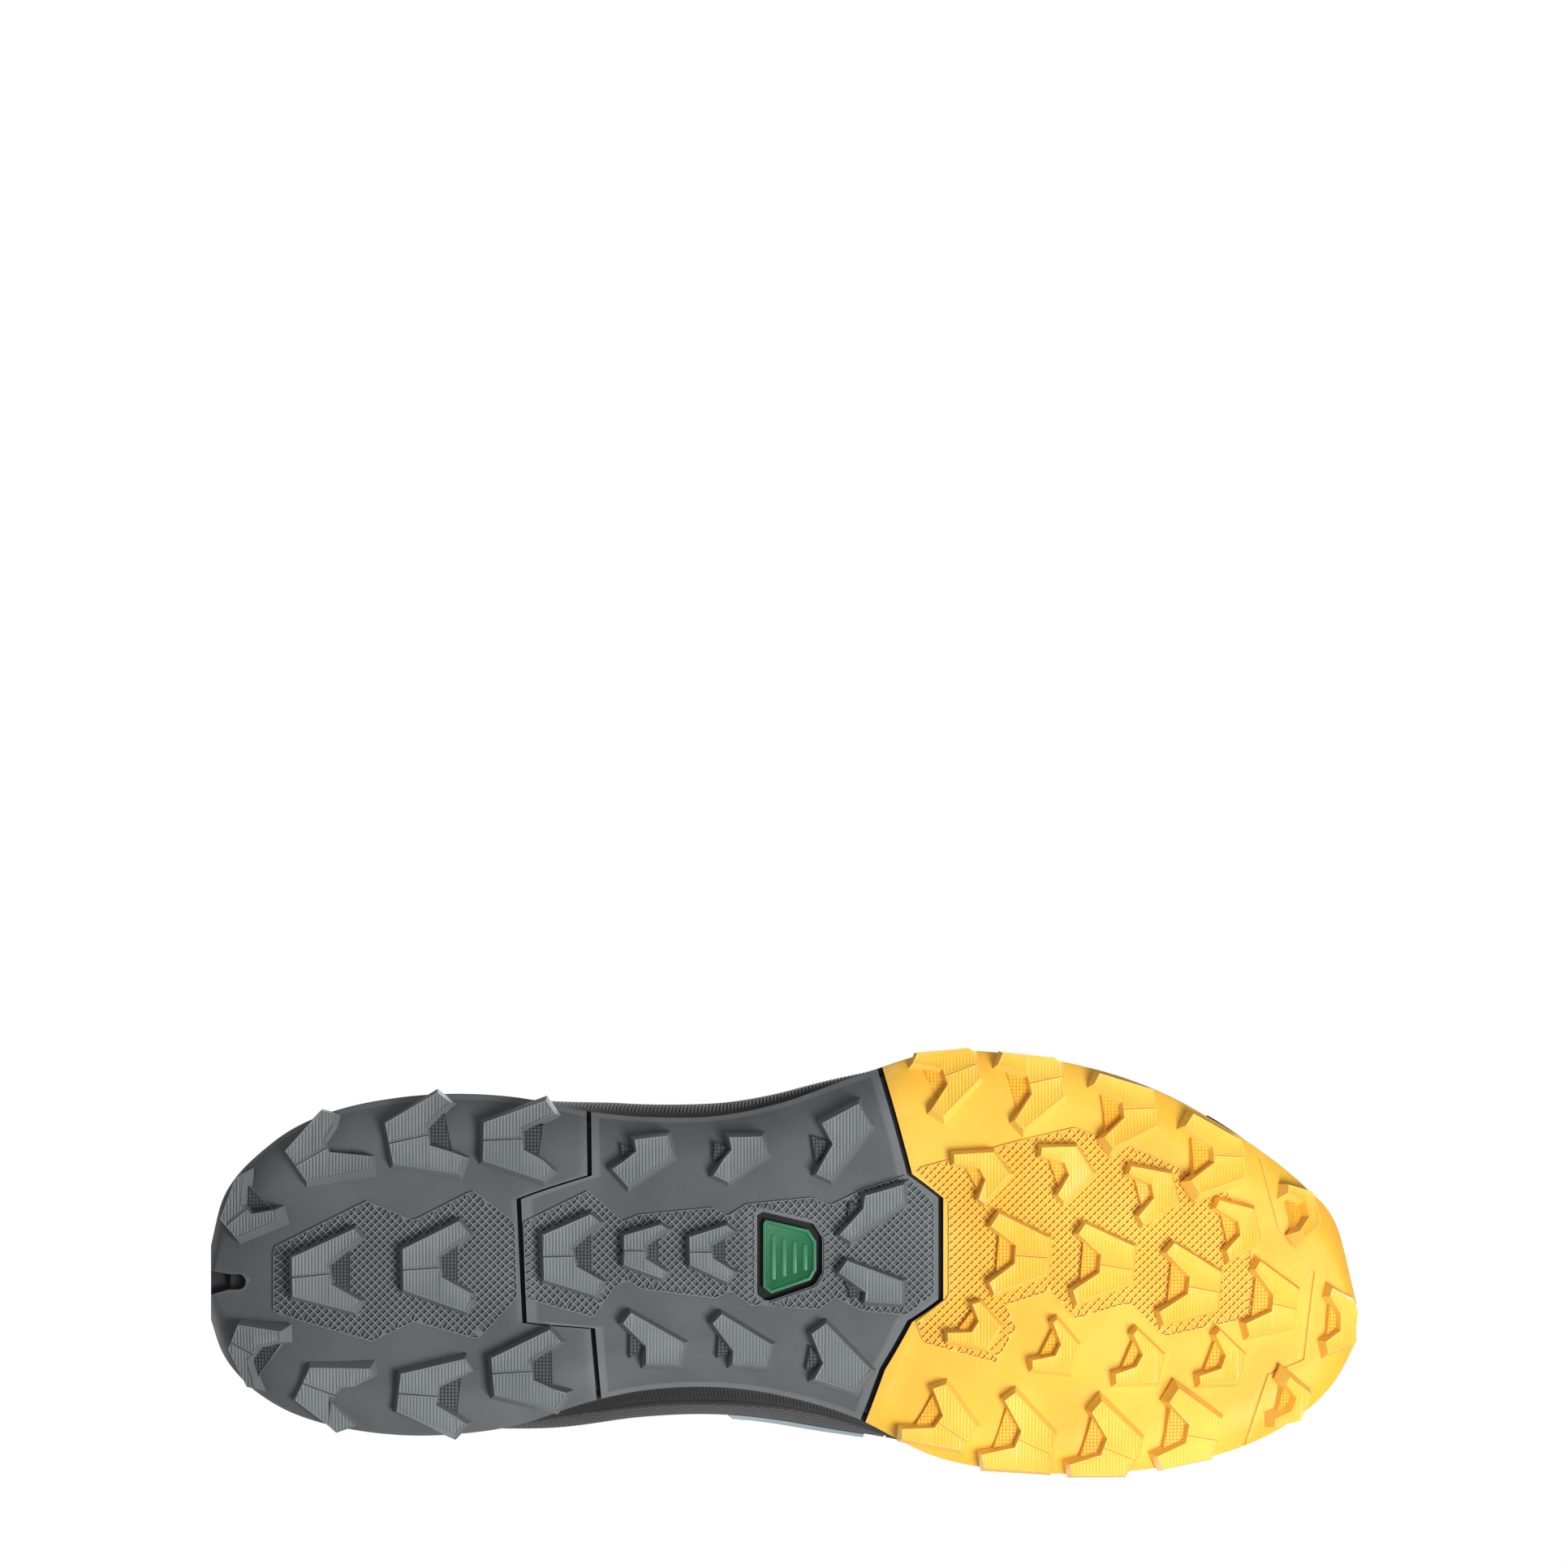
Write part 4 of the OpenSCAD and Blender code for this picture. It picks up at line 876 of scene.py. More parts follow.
def buildBadge():
    # a green plate with a sunk inset border and plain grip bars
    look = {"low": 4.5, "high": 5.9, "border": 0.9, "sunk": 0.3, "bars": 4, "barWidth": 1.15, "barRise": 0.28}
    bm = bmesh.new()
    plate = bm.faces.new([bm.verts.new((x, y, look["low"])) for x, y in badgeOutline(-0.25)])
    up = bmesh.ops.extrude_face_region(bm, geom=[plate], use_keep_orig=True)["geom"]
    bmesh.ops.translate(bm, vec=(0, 0, look["high"] - look["low"]),
                        verts=[v for v in up if isinstance(v, bmesh.types.BMVert)])
    bmesh.ops.recalc_face_normals(bm, faces=bm.faces)
    bmesh.ops.inset_region(bm, faces=[plate], thickness=look["border"])
    bmesh.ops.inset_region(bm, faces=[plate], thickness=0.2, depth=-look["sunk"])
    rim = [e for e in bm.edges if len(e.link_faces) == 2 and e.calc_face_angle(0) > 0.5]
    bmesh.ops.bevel(bm, geom=rim, offset=0.12, segments=2, profile=0.5, affect="EDGES", material=-1,
                    clamp_overlap=True)
    for k in range(look["bars"]):
        x, long = -2.6 + 2.7 * k, 11.5 - 1.6 * k
        bar = bmesh.new()
        bmesh.ops.create_cube(bar, size=1)
        bmesh.ops.scale(bar, vec=(look["barWidth"], long, look["barRise"] + 0.4), verts=bar.verts)
        z = look["low"] + look["sunk"] + 0.2 - look["barRise"] / 2
        bmesh.ops.translate(bar, vec=(x, -1, z), verts=bar.verts)
        bmesh.ops.bevel(bar, geom=bar.edges[:], offset=0.2, segments=2, profile=0.5, affect="EDGES",
                        material=-1)
        joinInto(bm, bar)
    finishPiece(bm, "badgeInsert", [greenRubber], "shoe", ["outsole_badge"])
    print("outsole: badge")


buildBadge()


# ---------- closed sheets ----------

def sheetSolid(cols, rows, place, size, rim=0.0, ring=False):
    # place(u, v, side) gives the point of the outer (0) or inner (1) face; the UV map is in
    # millimetres, from the sheet's size; ring joins the two ends
    bm = bmesh.new()
    uv = bm.loops.layers.uv.new("weave")
    bmesh.ops.create_grid(bm, x_segments=cols, y_segments=rows, size=1)
    keyU, keyV = bm.verts.layers.float.new("u"), bm.verts.layers.float.new("v")
    for vert in bm.verts:
        vert[keyU], vert[keyV] = (vert.co.x + 1) / 2, (vert.co.y + 1) / 2
    for face in bm.faces:
        for loop in face.loops:
            loop[uv].uv = (loop.vert[keyU] * size[0], loop.vert[keyV] * size[1])
    edge = [e for e in bm.edges if e.is_boundary]
    if ring:
        edge = [e for e in edge if abs(e.verts[0][keyU] - e.verts[1][keyU]) > 0.0001]
    up = bmesh.ops.extrude_face_region(bm, geom=list(bm.faces), use_keep_orig=True)["geom"]
    inner = {v for v in up if isinstance(v, bmesh.types.BMVert)}
    for vert in bm.verts:
        vert.co = place(vert[keyU], vert[keyV], 1 if vert in inner else 0)
    if ring:
        ends = [f for f in bm.faces if all(v[keyU] < 0.0001 for v in f.verts)
                or all(v[keyU] > 0.9999 for v in f.verts)]
        bmesh.ops.delete(bm, geom=ends, context="FACES_ONLY")
    bmesh.ops.remove_doubles(bm, verts=bm.verts, dist=0.002)
    bmesh.ops.recalc_face_normals(bm, faces=bm.faces)
    if rim:
        edge = [e for e in edge if e.is_valid]
        bmesh.ops.bevel(bm, geom=edge, offset=rim, segments=2, profile=0.5, affect="EDGES", material=-1,
                        clamp_overlap=True)
    return bm


def pathAt(points, s):
    # a point on a smooth path, s counts from 0 at the first point
    last = len(points) - 1
    i = min(last - 1, max(0, math.floor(s)))
    u = s - i
    a, b, c, d = (Vector(points[k]) for k in (max(0, i - 1), i, i + 1, min(last, i + 2)))
    return 0.5 * (2 * b + (c - a) * u + (2 * a - 5 * b + 4 * c - d) * u**2 + (3 * b - a - 3 * c + d) * u**3)


def tubeSolid(points, radius, sides, taper=False):
    # a round tube with closed ends along a list of points, with its UV map in millimetres
    spots = [Vector(p) for p in points]
    last = len(spots) - 1
    ahead = [(spots[min(last, i + 1)] - spots[max(0, i - 1)]).normalized() for i in range(len(spots))]
    across = ahead[0].orthogonal().normalized()
    long = 0
    bm = bmesh.new()
    uv = bm.loops.layers.uv.new("weave")
    rings, reach = [], []
    for i, p in enumerate(spots):
        across = (across - ahead[i] * across.dot(ahead[i])).normalized()
        other = ahead[i].cross(across)
        r = radius * (0.55 if taper and i in (0, len(spots) - 1) else 1)
        rings.append([bm.verts.new(p + (across * math.cos(a) + other * math.sin(a)) * r)
                      for a in [2 * math.pi * k / sides for k in range(sides)]])
        long += (p - spots[max(0, i - 1)]).length
        reach.append(long)
    girth = 2 * math.pi * radius
    for i in range(len(rings) - 1):
        for k in range(sides):
            m = (k + 1) % sides
            face = bm.faces.new((rings[i][k], rings[i][m], rings[i + 1][m], rings[i + 1][k]))
            marks = ((reach[i], k), (reach[i], k + 1), (reach[i + 1], k + 1), (reach[i + 1], k))
            for loop, (u, v) in zip(face.loops, marks):
                loop[uv].uv = (u, v / sides * girth)
    bm.faces.new(rings[0])
    bm.faces.new(rings[-1])
    bmesh.ops.recalc_face_normals(bm, faces=bm.faces)
    return bm


def addStitches(bm, place, count, index, radius=0.24, fill=0.62):
    # short thread stitches along place(t), t from 0 to 1, with the material of that index
    for k in range(count):
        spots = [place((k + fill * t) / count) for t in (0, 0.3, 0.7, 1)]
        stitch = tubeSolid(spots, radius, 5, True)
        for face in stitch.faces:
            face.material_index = index
        joinInto(bm, stitch)


# ---------- midsole ----------

midsoleLook = {
    "columns": 1500,     # points around the wall
    "rows": 18,
    "ribs": 0.17,        # height of the fine upright ribs
    "bulge": -0.7,       # swell of the wall's middle
    "lateralWaist": 2.9, # more of it on the waist's sides
    "medialWaist": 1.2,
    "seam": 0.55,        # depth of the line pressed in along the wall
    "lip": 1.6,          # rise of the foam's rim around the upper
    "wall": 5,
}


def perimeter(edges, count):
    # evenly spaced points around the edge from the middle of the heel over the lateral side
    halves = []
    for side in (1, 2):
        row = [(x, curveAt(edges, x)[side]) for x in [edges[0][0] + (edges[-1][0] - edges[0][0]) *
               (1 - math.cos(math.pi * k / 160)) / 2 for k in range(161)]]
        ends = [(edges[k][0], (edges[k][1] + edges[k][2]) / 2) for k in (0, -1)]
        halves.append([Vector(p) for p in [ends[0]] + row + [ends[1]]])
    ring = []
    for half in (halves[0], halves[1][::-1]):
        reach = [0]
        for a, b in zip(half, half[1:]):
            reach.append(reach[-1] + (b - a).length)
        k = 0
        for n in range(count // 2):
            at = reach[-1] * n / (count // 2)
            while reach[k + 1] < at:
                k += 1
            ring.append(half[k].lerp(half[k + 1], (at - reach[k]) / max(0.001, reach[k + 1] - reach[k])))
    for _ in range(14):
        ring = [(ring[i - 1] + ring[i] + ring[(i + 1) % len(ring)]) / 3 for i in range(len(ring))]
    out = []
    for i, p in enumerate(ring):
        ahead = (ring[(i + 1) % len(ring)] - ring[i - 1]).normalized()
        out.append((p, Vector((ahead.y, -ahead.x))))
    return out


def smooth(t):
    t = clamp01(t)
    return t * t * (3 - 2 * t)


def buildMidsole():
    look = midsoleLook
    n = look["columns"]
    low, high = perimeter(rubberEdge, n), perimeter(foamEdge, n)

    def place(u, v, side):
        k = round(u * n) % n
        (p, outLow), (q, outHigh) = low[k], high[k]
        out = (outLow + outHigh).normalized()
        x = q.x
        waist = smooth((x + 75) / 35) * smooth((34 - x) / 30)
        base = baseZ(*p) + sole["base"] + 0.1
        rim = curveAt(foamTop, x)[1] + look["lip"] * math.sin(math.pi / 2 * clamp01(v))
        z = mix(base, rim, v)
        sides = look["medialWaist"] if q.y > 0 else look["lateralWaist"]
        swell = math.sin(math.pi * v) ** 0.8 * (look["bulge"] + sides * waist)
        line = math.exp(-((v - 0.62) / 0.035) ** 2) + 0.6 * math.exp(-((v - 0.86) / 0.03) ** 2)
        swell -= look["seam"] * line
        ribbed = look["ribs"] * (0.25 + 0.75 * waist) * smooth((v - 0.04) / 0.1) * smooth((0.56 - v) / 0.08)
        swell += ribbed * (1 if k % 2 else -1)
        p3 = p.lerp(q, smooth(v)) + out * swell
        if side:
            p3 = p.lerp(q, smooth(v)) - out * look["wall"]
        return Vector((p3.x, p3.y, z - (0.3 * side if v > 0.5 else 0)))

    bm = sheetSolid(n, look["rows"], place, (700, 24), 0, True)
    core = soleGrid(endsAt(-142), endsAt(142), 0, [(x, a + 2.5, b - 2.5) for x, a, b in rubberEdge], 150, 40)
    for vert in core.verts:
        vert.co.z = baseZ(vert.co.x, vert.co.y) + sole["base"] + 0.12
    up = bmesh.ops.extrude_face_region(core, geom=list(core.faces), use_keep_orig=True)["geom"]
    for vert in [v for v in up if isinstance(v, bmesh.types.BMVert)]:
        x, y = vert.co.xy
        a, b = curveAt(rubberEdge, x)[1:], curveAt(foamEdge, x)[1:]
        w = (y - a[0] - 2.5) / max(0.1, a[1] - a[0] - 5)
        vert.co = (x * 0.985, mix(b[0] + 2.8, b[1] - 2.8, w), curveAt(foamTop, x)[1] - 0.1)
    bmesh.ops.recalc_face_normals(core, faces=core.faces)
    joinInto(bm, core)
    finishPiece(bm, "midsole", [blackFoam], "flex", ["midsole_rear", "midsole_forefoot"])
    print("midsole: wall and core")


buildMidsole()


# ---------- textile materials ----------

def sineWave(nodes, links, value, pitch):
    turns = nodes.new("ShaderNodeMath")
    turns.operation = "MULTIPLY"
    turns.inputs[1].default_value = 2 * math.pi / pitch
    links.new(value, turns.inputs[0])
    wave = nodes.new("ShaderNodeMath")
    wave.operation = "SINE"
    links.new(turns.outputs["Value"], wave.inputs[0])
    return wave.outputs["Value"]


def textileMaterial(name, dark, light, pitchU, pitchV, turn, roughness, height, sheen=0.25, fleck=0.5):
    # woven or knitted cloth that follows the piece's own UV map, in millimetres
    material, nodes, links, shader = newMaterial(name, light, roughness, sheen, 0.3)
    place = nodes.new("ShaderNodeUVMap")
    place.uv_map = "weave"
    turned = nodes.new("ShaderNodeMapping")
    turned.inputs["Rotation"].default_value = (0, 0, math.radians(turn))
    links.new(place.outputs["UV"], turned.inputs["Vector"])
    parts = nodes.new("ShaderNodeSeparateXYZ")
    links.new(turned.outputs["Vector"], parts.inputs["Vector"])
    product = nodes.new("ShaderNodeMath")
    product.operation = "MULTIPLY"
    links.new(sineWave(nodes, links, parts.outputs["X"], pitchU), product.inputs[0])
    links.new(sineWave(nodes, links, parts.outputs["Y"], pitchV), product.inputs[1])
    yarn = nodes.new("ShaderNodeMapRange")
    yarn.inputs["From Min"].default_value = -1
    links.new(product.outputs["Value"], yarn.inputs["Value"])
    cloth = ramped(nodes, links, yarn.outputs["Result"], [(0.18, dark), (0.45, light), (0.9, light)])
    cloud = nodes.new("ShaderNodeMix")
    cloud.data_type = "RGBA"
    cloud.blend_type = "MULTIPLY"
    tone = ramped(nodes, links, pattern(nodes, links, 60, 4), [(0.3, (0.72,) * 3), (0.7, (1.0,) * 3)])
    cloud.inputs["Factor"].default_value = fleck
    links.new(cloth, cloud.inputs["A"])
    links.new(tone, cloud.inputs["B"])
    links.new(cloud.outputs["Result"], shader.inputs["Base Color"])
    fuzz = bumped(nodes, links, shader, pattern(nodes, links, 1500, 3), 0.35, 0.08)
    bumped(nodes, links, shader, yarn.outputs["Result"], 0.9, height, fuzz)
    return material


blackMesh = textileMaterial("blackMesh", shade(10, 10, 11), shade(40, 41, 43), 2.4, 1.9, 0, 0.85, 0.35, 0.08)
blackKnit = textileMaterial("blackKnit", shade(16, 16, 18), shade(38, 39, 42), 1.3, 1.6, 45, 0.9, 0.25, 0.1)
liningCloth = textileMaterial("liningCloth", shade(34, 36, 38), shade(66, 70, 74), 1.0, 1.0, 45, 0.95, 0.18,
                              0.4)
webbingBand = textileMaterial("webbingBand", shade(24, 26, 28), shade(78, 84, 88), 1.5, 0.9, 0, 0.8, 0.2)
laceBraid = textileMaterial("laceBraid", shade(20, 72, 50), shade(60, 165, 112), 1.5, 1.5, 45, 0.7, 0.22)
linerKnit = textileMaterial("linerKnit", shade(56, 60, 64), shade(104, 110, 114), 1.2, 1.2, 45, 0.9, 0.15)
paleBoard = textileMaterial("paleBoard", shade(150, 146, 136), shade(188, 184, 174), 1.0, 1.0, 0, 0.9, 0.1)
thread = textileMaterial("thread", shade(60, 66, 70), shade(120, 130, 136), 0.6, 0.6, 45, 0.7, 0.08)
blackFilm = rubberMaterial("blackFilm", shade(26, 27, 28), shade(34, 35, 36), shade(42, 43, 44), 0.42,
                           shade(72, 73, 74))
blueGreyFilm = rubberMaterial("blueGreyFilm", shade(140, 156, 165), shade(150, 166, 174),
                              shade(162, 176, 183), 0.5, shade(188, 198, 203))
toggleShell = rubberMaterial("toggleShell", shade(30, 32, 34), shade(38, 40, 42), shade(46, 48, 50), 0.35,
                             shade(86, 88, 90))


# ---------- upper ----------

# Stations around the foot, lateral then medial, from the heel to the toe:
# x and y of the lower edge, x, y and z of the upper edge, arch in degrees, bulge
heelStation = (-142, 5, -136, 5, 100, 30, 2)
toeStation = (143, 14, 117, 10.5, 44, 90, 1)
lateralStations = [
    (-132, -23.5, -126, -13, 96, 35, 2), (-112, -34.5, -108, -24, 88, 40, 2),
    (-88, -38.5, -86, -28, 81, 40, 2), (-62, -38.8, -64, -28, 80, 40, 2.5),
    (-40, -37.8, -50, -24, 92, 50, 3), (-18, -38, -36, -19, 101, 60, 3), (5, -41, -8, -16, 90, 68, 3),
    (25, -47, 16, -13, 78, 72, 2.5), (42, -51, 38, -10, 67, 80, 2), (60, -51, 54, 2, 62, 90, 1.5),
    (85, -46.5, 76, 4.5, 56, 90, 1.5), (108, -36.5, 94, 6.5, 51.5, 90, 1), (127, -22, 106, 8, 48.5, 90, 1),
    (139, -4, 113, 9.5, 46, 90, 1)]
medialStations = [
    (-132, 30.5, -126, 22, 96, 35, 2), (-112, 38.5, -108, 31, 88, 40, 2.5),
    (-88, 41, -86, 34, 82, 40, 2.5), (-62, 38.8, -64, 31, 81, 40, 5.8),
    (-40, 36, -50, 26, 92, 50, 8.3), (-18, 35.5, -36, 20, 101, 60, 10.4), (5, 37, -8, 17, 90, 68, 11),
    (25, 43, 16, 15, 78, 72, 6), (42, 48.5, 38, 13, 67, 80, 2.5), (60, 51, 54, 2, 62, 90, 2),
    (85, 51.5, 76, 4.5, 56, 90, 1.5), (108, 47.5, 94, 6.5, 51.5, 90, 1), (127, 39, 106, 8, 48.5, 90, 1),
    (138.5, 28.5, 113, 9.5, 46, 90, 1)]
stations = [heelStation] + lateralStations + [toeStation] + medialStations[::-1]
toeS = len(lateralStations) + 1
upperLook = {
    "skin": 1.4,         # thickness of the outer textile
    "layer": 0.12,       # space under an overlay
    "film": 0.85,        # thickness of an overlay
    "collar": 5.6,       # thickness of the collar's padding
    "throat": 6,         # station of the top lace loops
    "bandFoot": 0.27,    # height of the side bands' lower edge
    "vamp": 8.03,        # station where the vamp starts
    "bridge": 0.0045,    # share of the vamp's width across each millimetre of the throat
    "crown": 1.4,        # height of the fill between the two sides over the toes
    "crownHalf": 0.42,   # half of that fill's share of the vamp's width
    "smoothing": 60,     # rounds that even out the vamp's crown
}


def stationAt(s):
    n = len(stations)
    i = math.floor(s)
    u = s - i
    rows = zip(*(stations[k % n] for k in (i - 1, i, i + 1, i + 2)))
    return [0.5 * (2 * b + (c - a) * u + (2 * a - 5 * b + 4 * c - d) * u**2 + (3 * b - a - 3 * c + d) * u**3)
            for a, b, c, d in rows]


def skinAt(s, v):
    # s is 0 at the heel, up to toeS at the toe over the lateral side and -toeS over the
    # medial side; v is 0 at the foam and 1 at the upper edge
    x, y, topX, topY, topZ, arch, bulge = stationAt(s)
    arch = math.radians(arch)
    low, high = Vector((x, y)), Vector((topX, topY))
    t = (1 - math.cos(v * arch)) / (1 - math.cos(arch))
    p = low.lerp(high, t) + (low - high).normalized() * bulge * math.sin(math.pi * v)
    return Vector((p.x, p.y, mix(curveAt(foamTop, x)[1] + 0.15, topZ, math.sin(v * arch) / math.sin(arch))))


def skinNormal(s, v):
    v = min(0.95, max(0.02, v))
    along = skinAt(s + 0.02, v) - skinAt(s - 0.02, v)
    return along.cross(skinAt(s, v + 0.02) - skinAt(s, v - 0.02)).normalized()


def skinOff(s, v, d):
    return skinAt(s, v) + skinNormal(s, v) * d


def level(v):
    return [(-toeS, v), (toeS, v)]


def patch(s0, s1, low, high, outer, inner, cols, rows, rim=0.3):
    # a patch of the upper between two stations and two heights, given as rows of (s, v)
    size = ((skinAt(s0, 0.5) - skinAt((s0 + s1) / 2, 0.5)).length * 2.1, 60)

    def place(u, v, side):
        s = mix(s0, s1, u)
        w = mix(rampAt(low, s), rampAt(high, s), v)
        return skinOff(s, w, inner if side else outer)

    return sheetSolid(cols, rows, place, size, rim)


def edgeStitches(bm, s0, s1, heights, d):
    # a row of stitches on the upper's surface at the heights given as rows of (s, v)
    ends = [skinAt(mix(s0, s1, k / 8), rampAt(heights, mix(s0, s1, k / 8))) for k in range(9)]
    count = max(3, int(sum((b - a).length for a, b in zip(ends, ends[1:])) / 3.0))
    addStitches(bm, lambda t: skinOff(mix(s0, s1, t), rampAt(heights, mix(s0, s1, t)), d), count, 1)


def buildShell():
    look = upperLook
    skin = look["skin"]
    bm = patch(0.02, 8, level(0), level(1), 0, -skin, 90, 22)
    joinInto(bm, patch(-8, -0.02, level(0), level(1), 0, -skin, 90, 22))
    edgeStitches(bm, -5.3, 5.3, level(0.955), 0.05)
    edgeStitches(bm, 0.25, 0.25001, [(0, 0.56), (0.5, 0.56)], 0.05)
    finishPiece(bm, "quarters", [blackMesh, thread], "flex",
                ["quarter_lateral", "quarter_medial"], 50)

    def place(u, v, side):
        s = mix(look["vamp"], toeS, u)
        w = v * 2 - 1
        d = -skin if side else 0
        bridge = 0.015 + look["bridge"] * (skinAt(s, 1) - skinAt(-s, 1)).length
        # over the toes the two sides meet in a valley, which is filled
        fill = look["crown"] * smooth((u - 0.3) / 0.5)
        if abs(w) >= bridge:
            p = skinOff(s if w < 0 else -s, (1 - abs(w)) / (1 - bridge), d)
            return p + Vector((0, 0, fill * clamp01(1 - abs(w) / look["crownHalf"]) ** 2))
        a, b = skinOff(s, 1, d), skinOff(-s, 1, d)
        t = (w / bridge + 1) / 2
        fill *= (1 - bridge / look["crownHalf"]) ** 2
        return a.lerp(b, t) + Vector((0, 0, fill + 0.06 * (a - b).length * (1 - (w / bridge) ** 2)))

    bm = sheetSolid(70, 64, place, (150, 150))
    keyU, keyV = bm.verts.layers.float["u"], bm.verts.layers.float["v"]
    crown = [v for v in bm.verts if 0.02 < v[keyU] and 0.29 < v[keyV] < 0.71]
    for _ in range(look["smoothing"]):
        bmesh.ops.smooth_vert(bm, verts=crown, factor=0.5, use_axis_x=True, use_axis_y=True, use_axis_z=True)
    finishPiece(bm, "vampShell", [blackMesh], "flex", ["vamp"], 50)
    print("upper: quarters and vamp")


def buildOverlays():
    look = upperLook
    inner, outer = look["layer"], look["layer"] + look["film"]
    toeTop = [(12, 0.2), (13.2, 0.42), (15, 0.56), (16.8, 0.42), (18, 0.2)]
    bm = patch(12, 2 * toeS - 12, level(0.02), toeTop, outer + 0.3, inner, 70, 14, 0.4)
    seam = [(12.3, 0.19), (13.2, 0.37), (15, 0.51), (16.8, 0.37), (17.7, 0.19)]
    edgeStitches(bm, 12.3, 2 * toeS - 12.3, seam, outer + 0.25)
    finishPiece(bm, "toeCap", [blackFilm, thread], "toe", ["toe_cap"], 50)

    heelTop = [(-3, 0.1), (-1.4, 0.36), (0, 0.56), (1.4, 0.36), (3, 0.1)]
    bm = patch(-3, 3, level(0.02), heelTop, outer, inner, 70, 14, 0.4)
    seam = [(-2.8, 0.09), (-1.4, 0.31), (0, 0.51), (1.4, 0.31), (2.8, 0.09)]
    edgeStitches(bm, -2.8, 2.8, seam, outer - 0.05)
    finishPiece(bm, "heelCap", [blackFilm, thread], "shoe", ["heel_cap"], 50)

    for side, name in ((1, "lateral"), (-1, "medial")):
        s0, s1 = (6, 7.7) if side > 0 else (-7.7, -6)
        top = [(s0, 0.66), (s1, 0.74)] if side > 0 else [(s0, 0.74), (s1, 0.66)]
        bm = patch(s0, s1, level(look["bandFoot"]), top, outer, inner, 24, 24, 0.3)
        for s in (mix(s0, s1, 0.07), mix(s0, s1, 0.93)):
            foot, head = look["bandFoot"] + 0.03, rampAt(top, s) - 0.03
            addStitches(bm, lambda t: skinOff(s, mix(foot, head, t), outer - 0.05), 11, 1)
        finishPiece(bm, name + "SideBand", [blueGreyFilm, thread], "flex",
                    ["side_band_" + name], 50)

        s0, s1 = look["throat"] - 0.5, 9.6
        low = [(-s1, 0.76), (-s0, 0.8), (s0, 0.8), (s1, 0.76)]
        near, far = (s0, s1) if side > 0 else (-s1, -s0)
        bm = patch(near, far, low, level(0.995), outer, inner, 50, 8, 0.3)
        for v in (0.03, -0.02):
            heights = [(s, h + v) for s, h in low] if v > 0 else level(0.99 + v)
            edgeStitches(bm, mix(near, far, 0.03), mix(near, far, 0.97), heights, outer - 0.05)
        finishPiece(bm, name + "Eyestay", [blackFilm, thread], "flex",
                    ["eyestay_" + name], 50)
    print("upper: overlays")


def buildLining():
    look = upperLook
    under = -look["skin"] - 0.5

    def collar(u, v, side):
        s = mix(-4.6, 4.6, u)
        ends = smooth(u / 0.07) * smooth((1 - u) / 0.07)
        swell = math.sin(math.pi * (0.06 + 0.88 * v)) ** 0.6 * (0.35 + 0.65 * ends)
        channel = 1 - 0.22 * math.exp(-((v - 0.42) / 0.06) ** 2)
        d = under - look["collar"] * swell * channel if side else under + 0.1
        return skinOff(s, mix(0.56, 1.0, v), d)

    bm = sheetSolid(110, 18, collar, (300, 38), 0.0)
    piece = finishPiece(bm, "collarLining", [liningCloth], "shoe", ["collar_lining"], 60)

    bm = patch(-3.4, 3.4, level(0.16), [(-3.4, 0.3), (0, 0.52), (3.4, 0.3)], under - 0.1, under - 1.2, 50, 8)
    finishPiece(bm, "heelCounter", [liningCloth], "shoe", ["heel_counter"], 50)
    bm = patch(12.4, 2 * toeS - 12.4, level(0.32), [(12.4, 0.4), (15, 0.66), (17.6, 0.4)],
               under - 0.1, under - 0.8, 40, 6)
    finishPiece(bm, "toePuff", [paleBoard], "toe", ["toe_puff"], 50)
    print("upper: collar, counter and puff")


def footbed(inset, low, high, dish, rows, cols):
    # a sheet that lies on the foam, its side edges raised by dish
    def place(u, v, side):
        reach = 145 - inset - 4
        x = -reach * math.cos(math.pi * u)
        edge = curveAt(foamEdge, x)
        w = v * 2 - 1
        half = (edge[2] - edge[1]) / 2 - inset * (1 + abs(x / 145) ** 6)
        y = (edge[1] + edge[2]) / 2 + w * half
        z = curveAt(foamTop, x)[1] + (low if side else high)
        return Vector((x, y, z + (0 if side else dish * (abs(w) ** 4 - 0.35 * (1 - w * w)))))

    return sheetSolid(rows, cols, place, (290, 95), 0.4)


def buildFootbed():
    bm = footbed(3.6, 0.15, 1.35, 0, 90, 16)
    finishPiece(bm, "strobelBoard", [paleBoard], "flex", ["strobel_board"], 50)
    bm = footbed(4.6, 1.5, 5.2, 0.9, 120, 32)
    piece = finishPiece(bm, "sockliner", [linerKnit], "flex", ["sockliner"], 50)
    print("inside: board and sockliner")


buildShell()
buildOverlays()
buildLining()
buildFootbed()


# ---------- tongue ----------

tongue = {
    "path": [(52, 2, 55.5), (30, 1.5, 64), (8, 1, 74.5), (-14, 1, 86), (-32, 1, 95), (-44, 1, 103),
             (-53, 1, 112), (-58, 1, 119)],
    "half": [(0, 9), (1, 12), (3, 15), (4, 17), (5, 19), (7, 25)],
    "crown": 0.2,        # drop of the edges, as a share of the half width
    "thick": 5,
    "fold": 4.7,         # place of the fold along the path
    "foldGap": 0.08,
}


def tonguePoint(s, w, d):
    p = pathAt(tongue["path"], s)
    ahead = (pathAt(tongue["path"], min(7, s + 0.02)) - pathAt(tongue["path"], max(0, s - 0.02))).normalized()
    up = Vector((0, 1, 0)).cross(ahead).normalized()
    half = rampAt(tongue["half"], s)
    return p + Vector((0, w * half, 0)) + up * (d - tongue["crown"] * half * w * w)


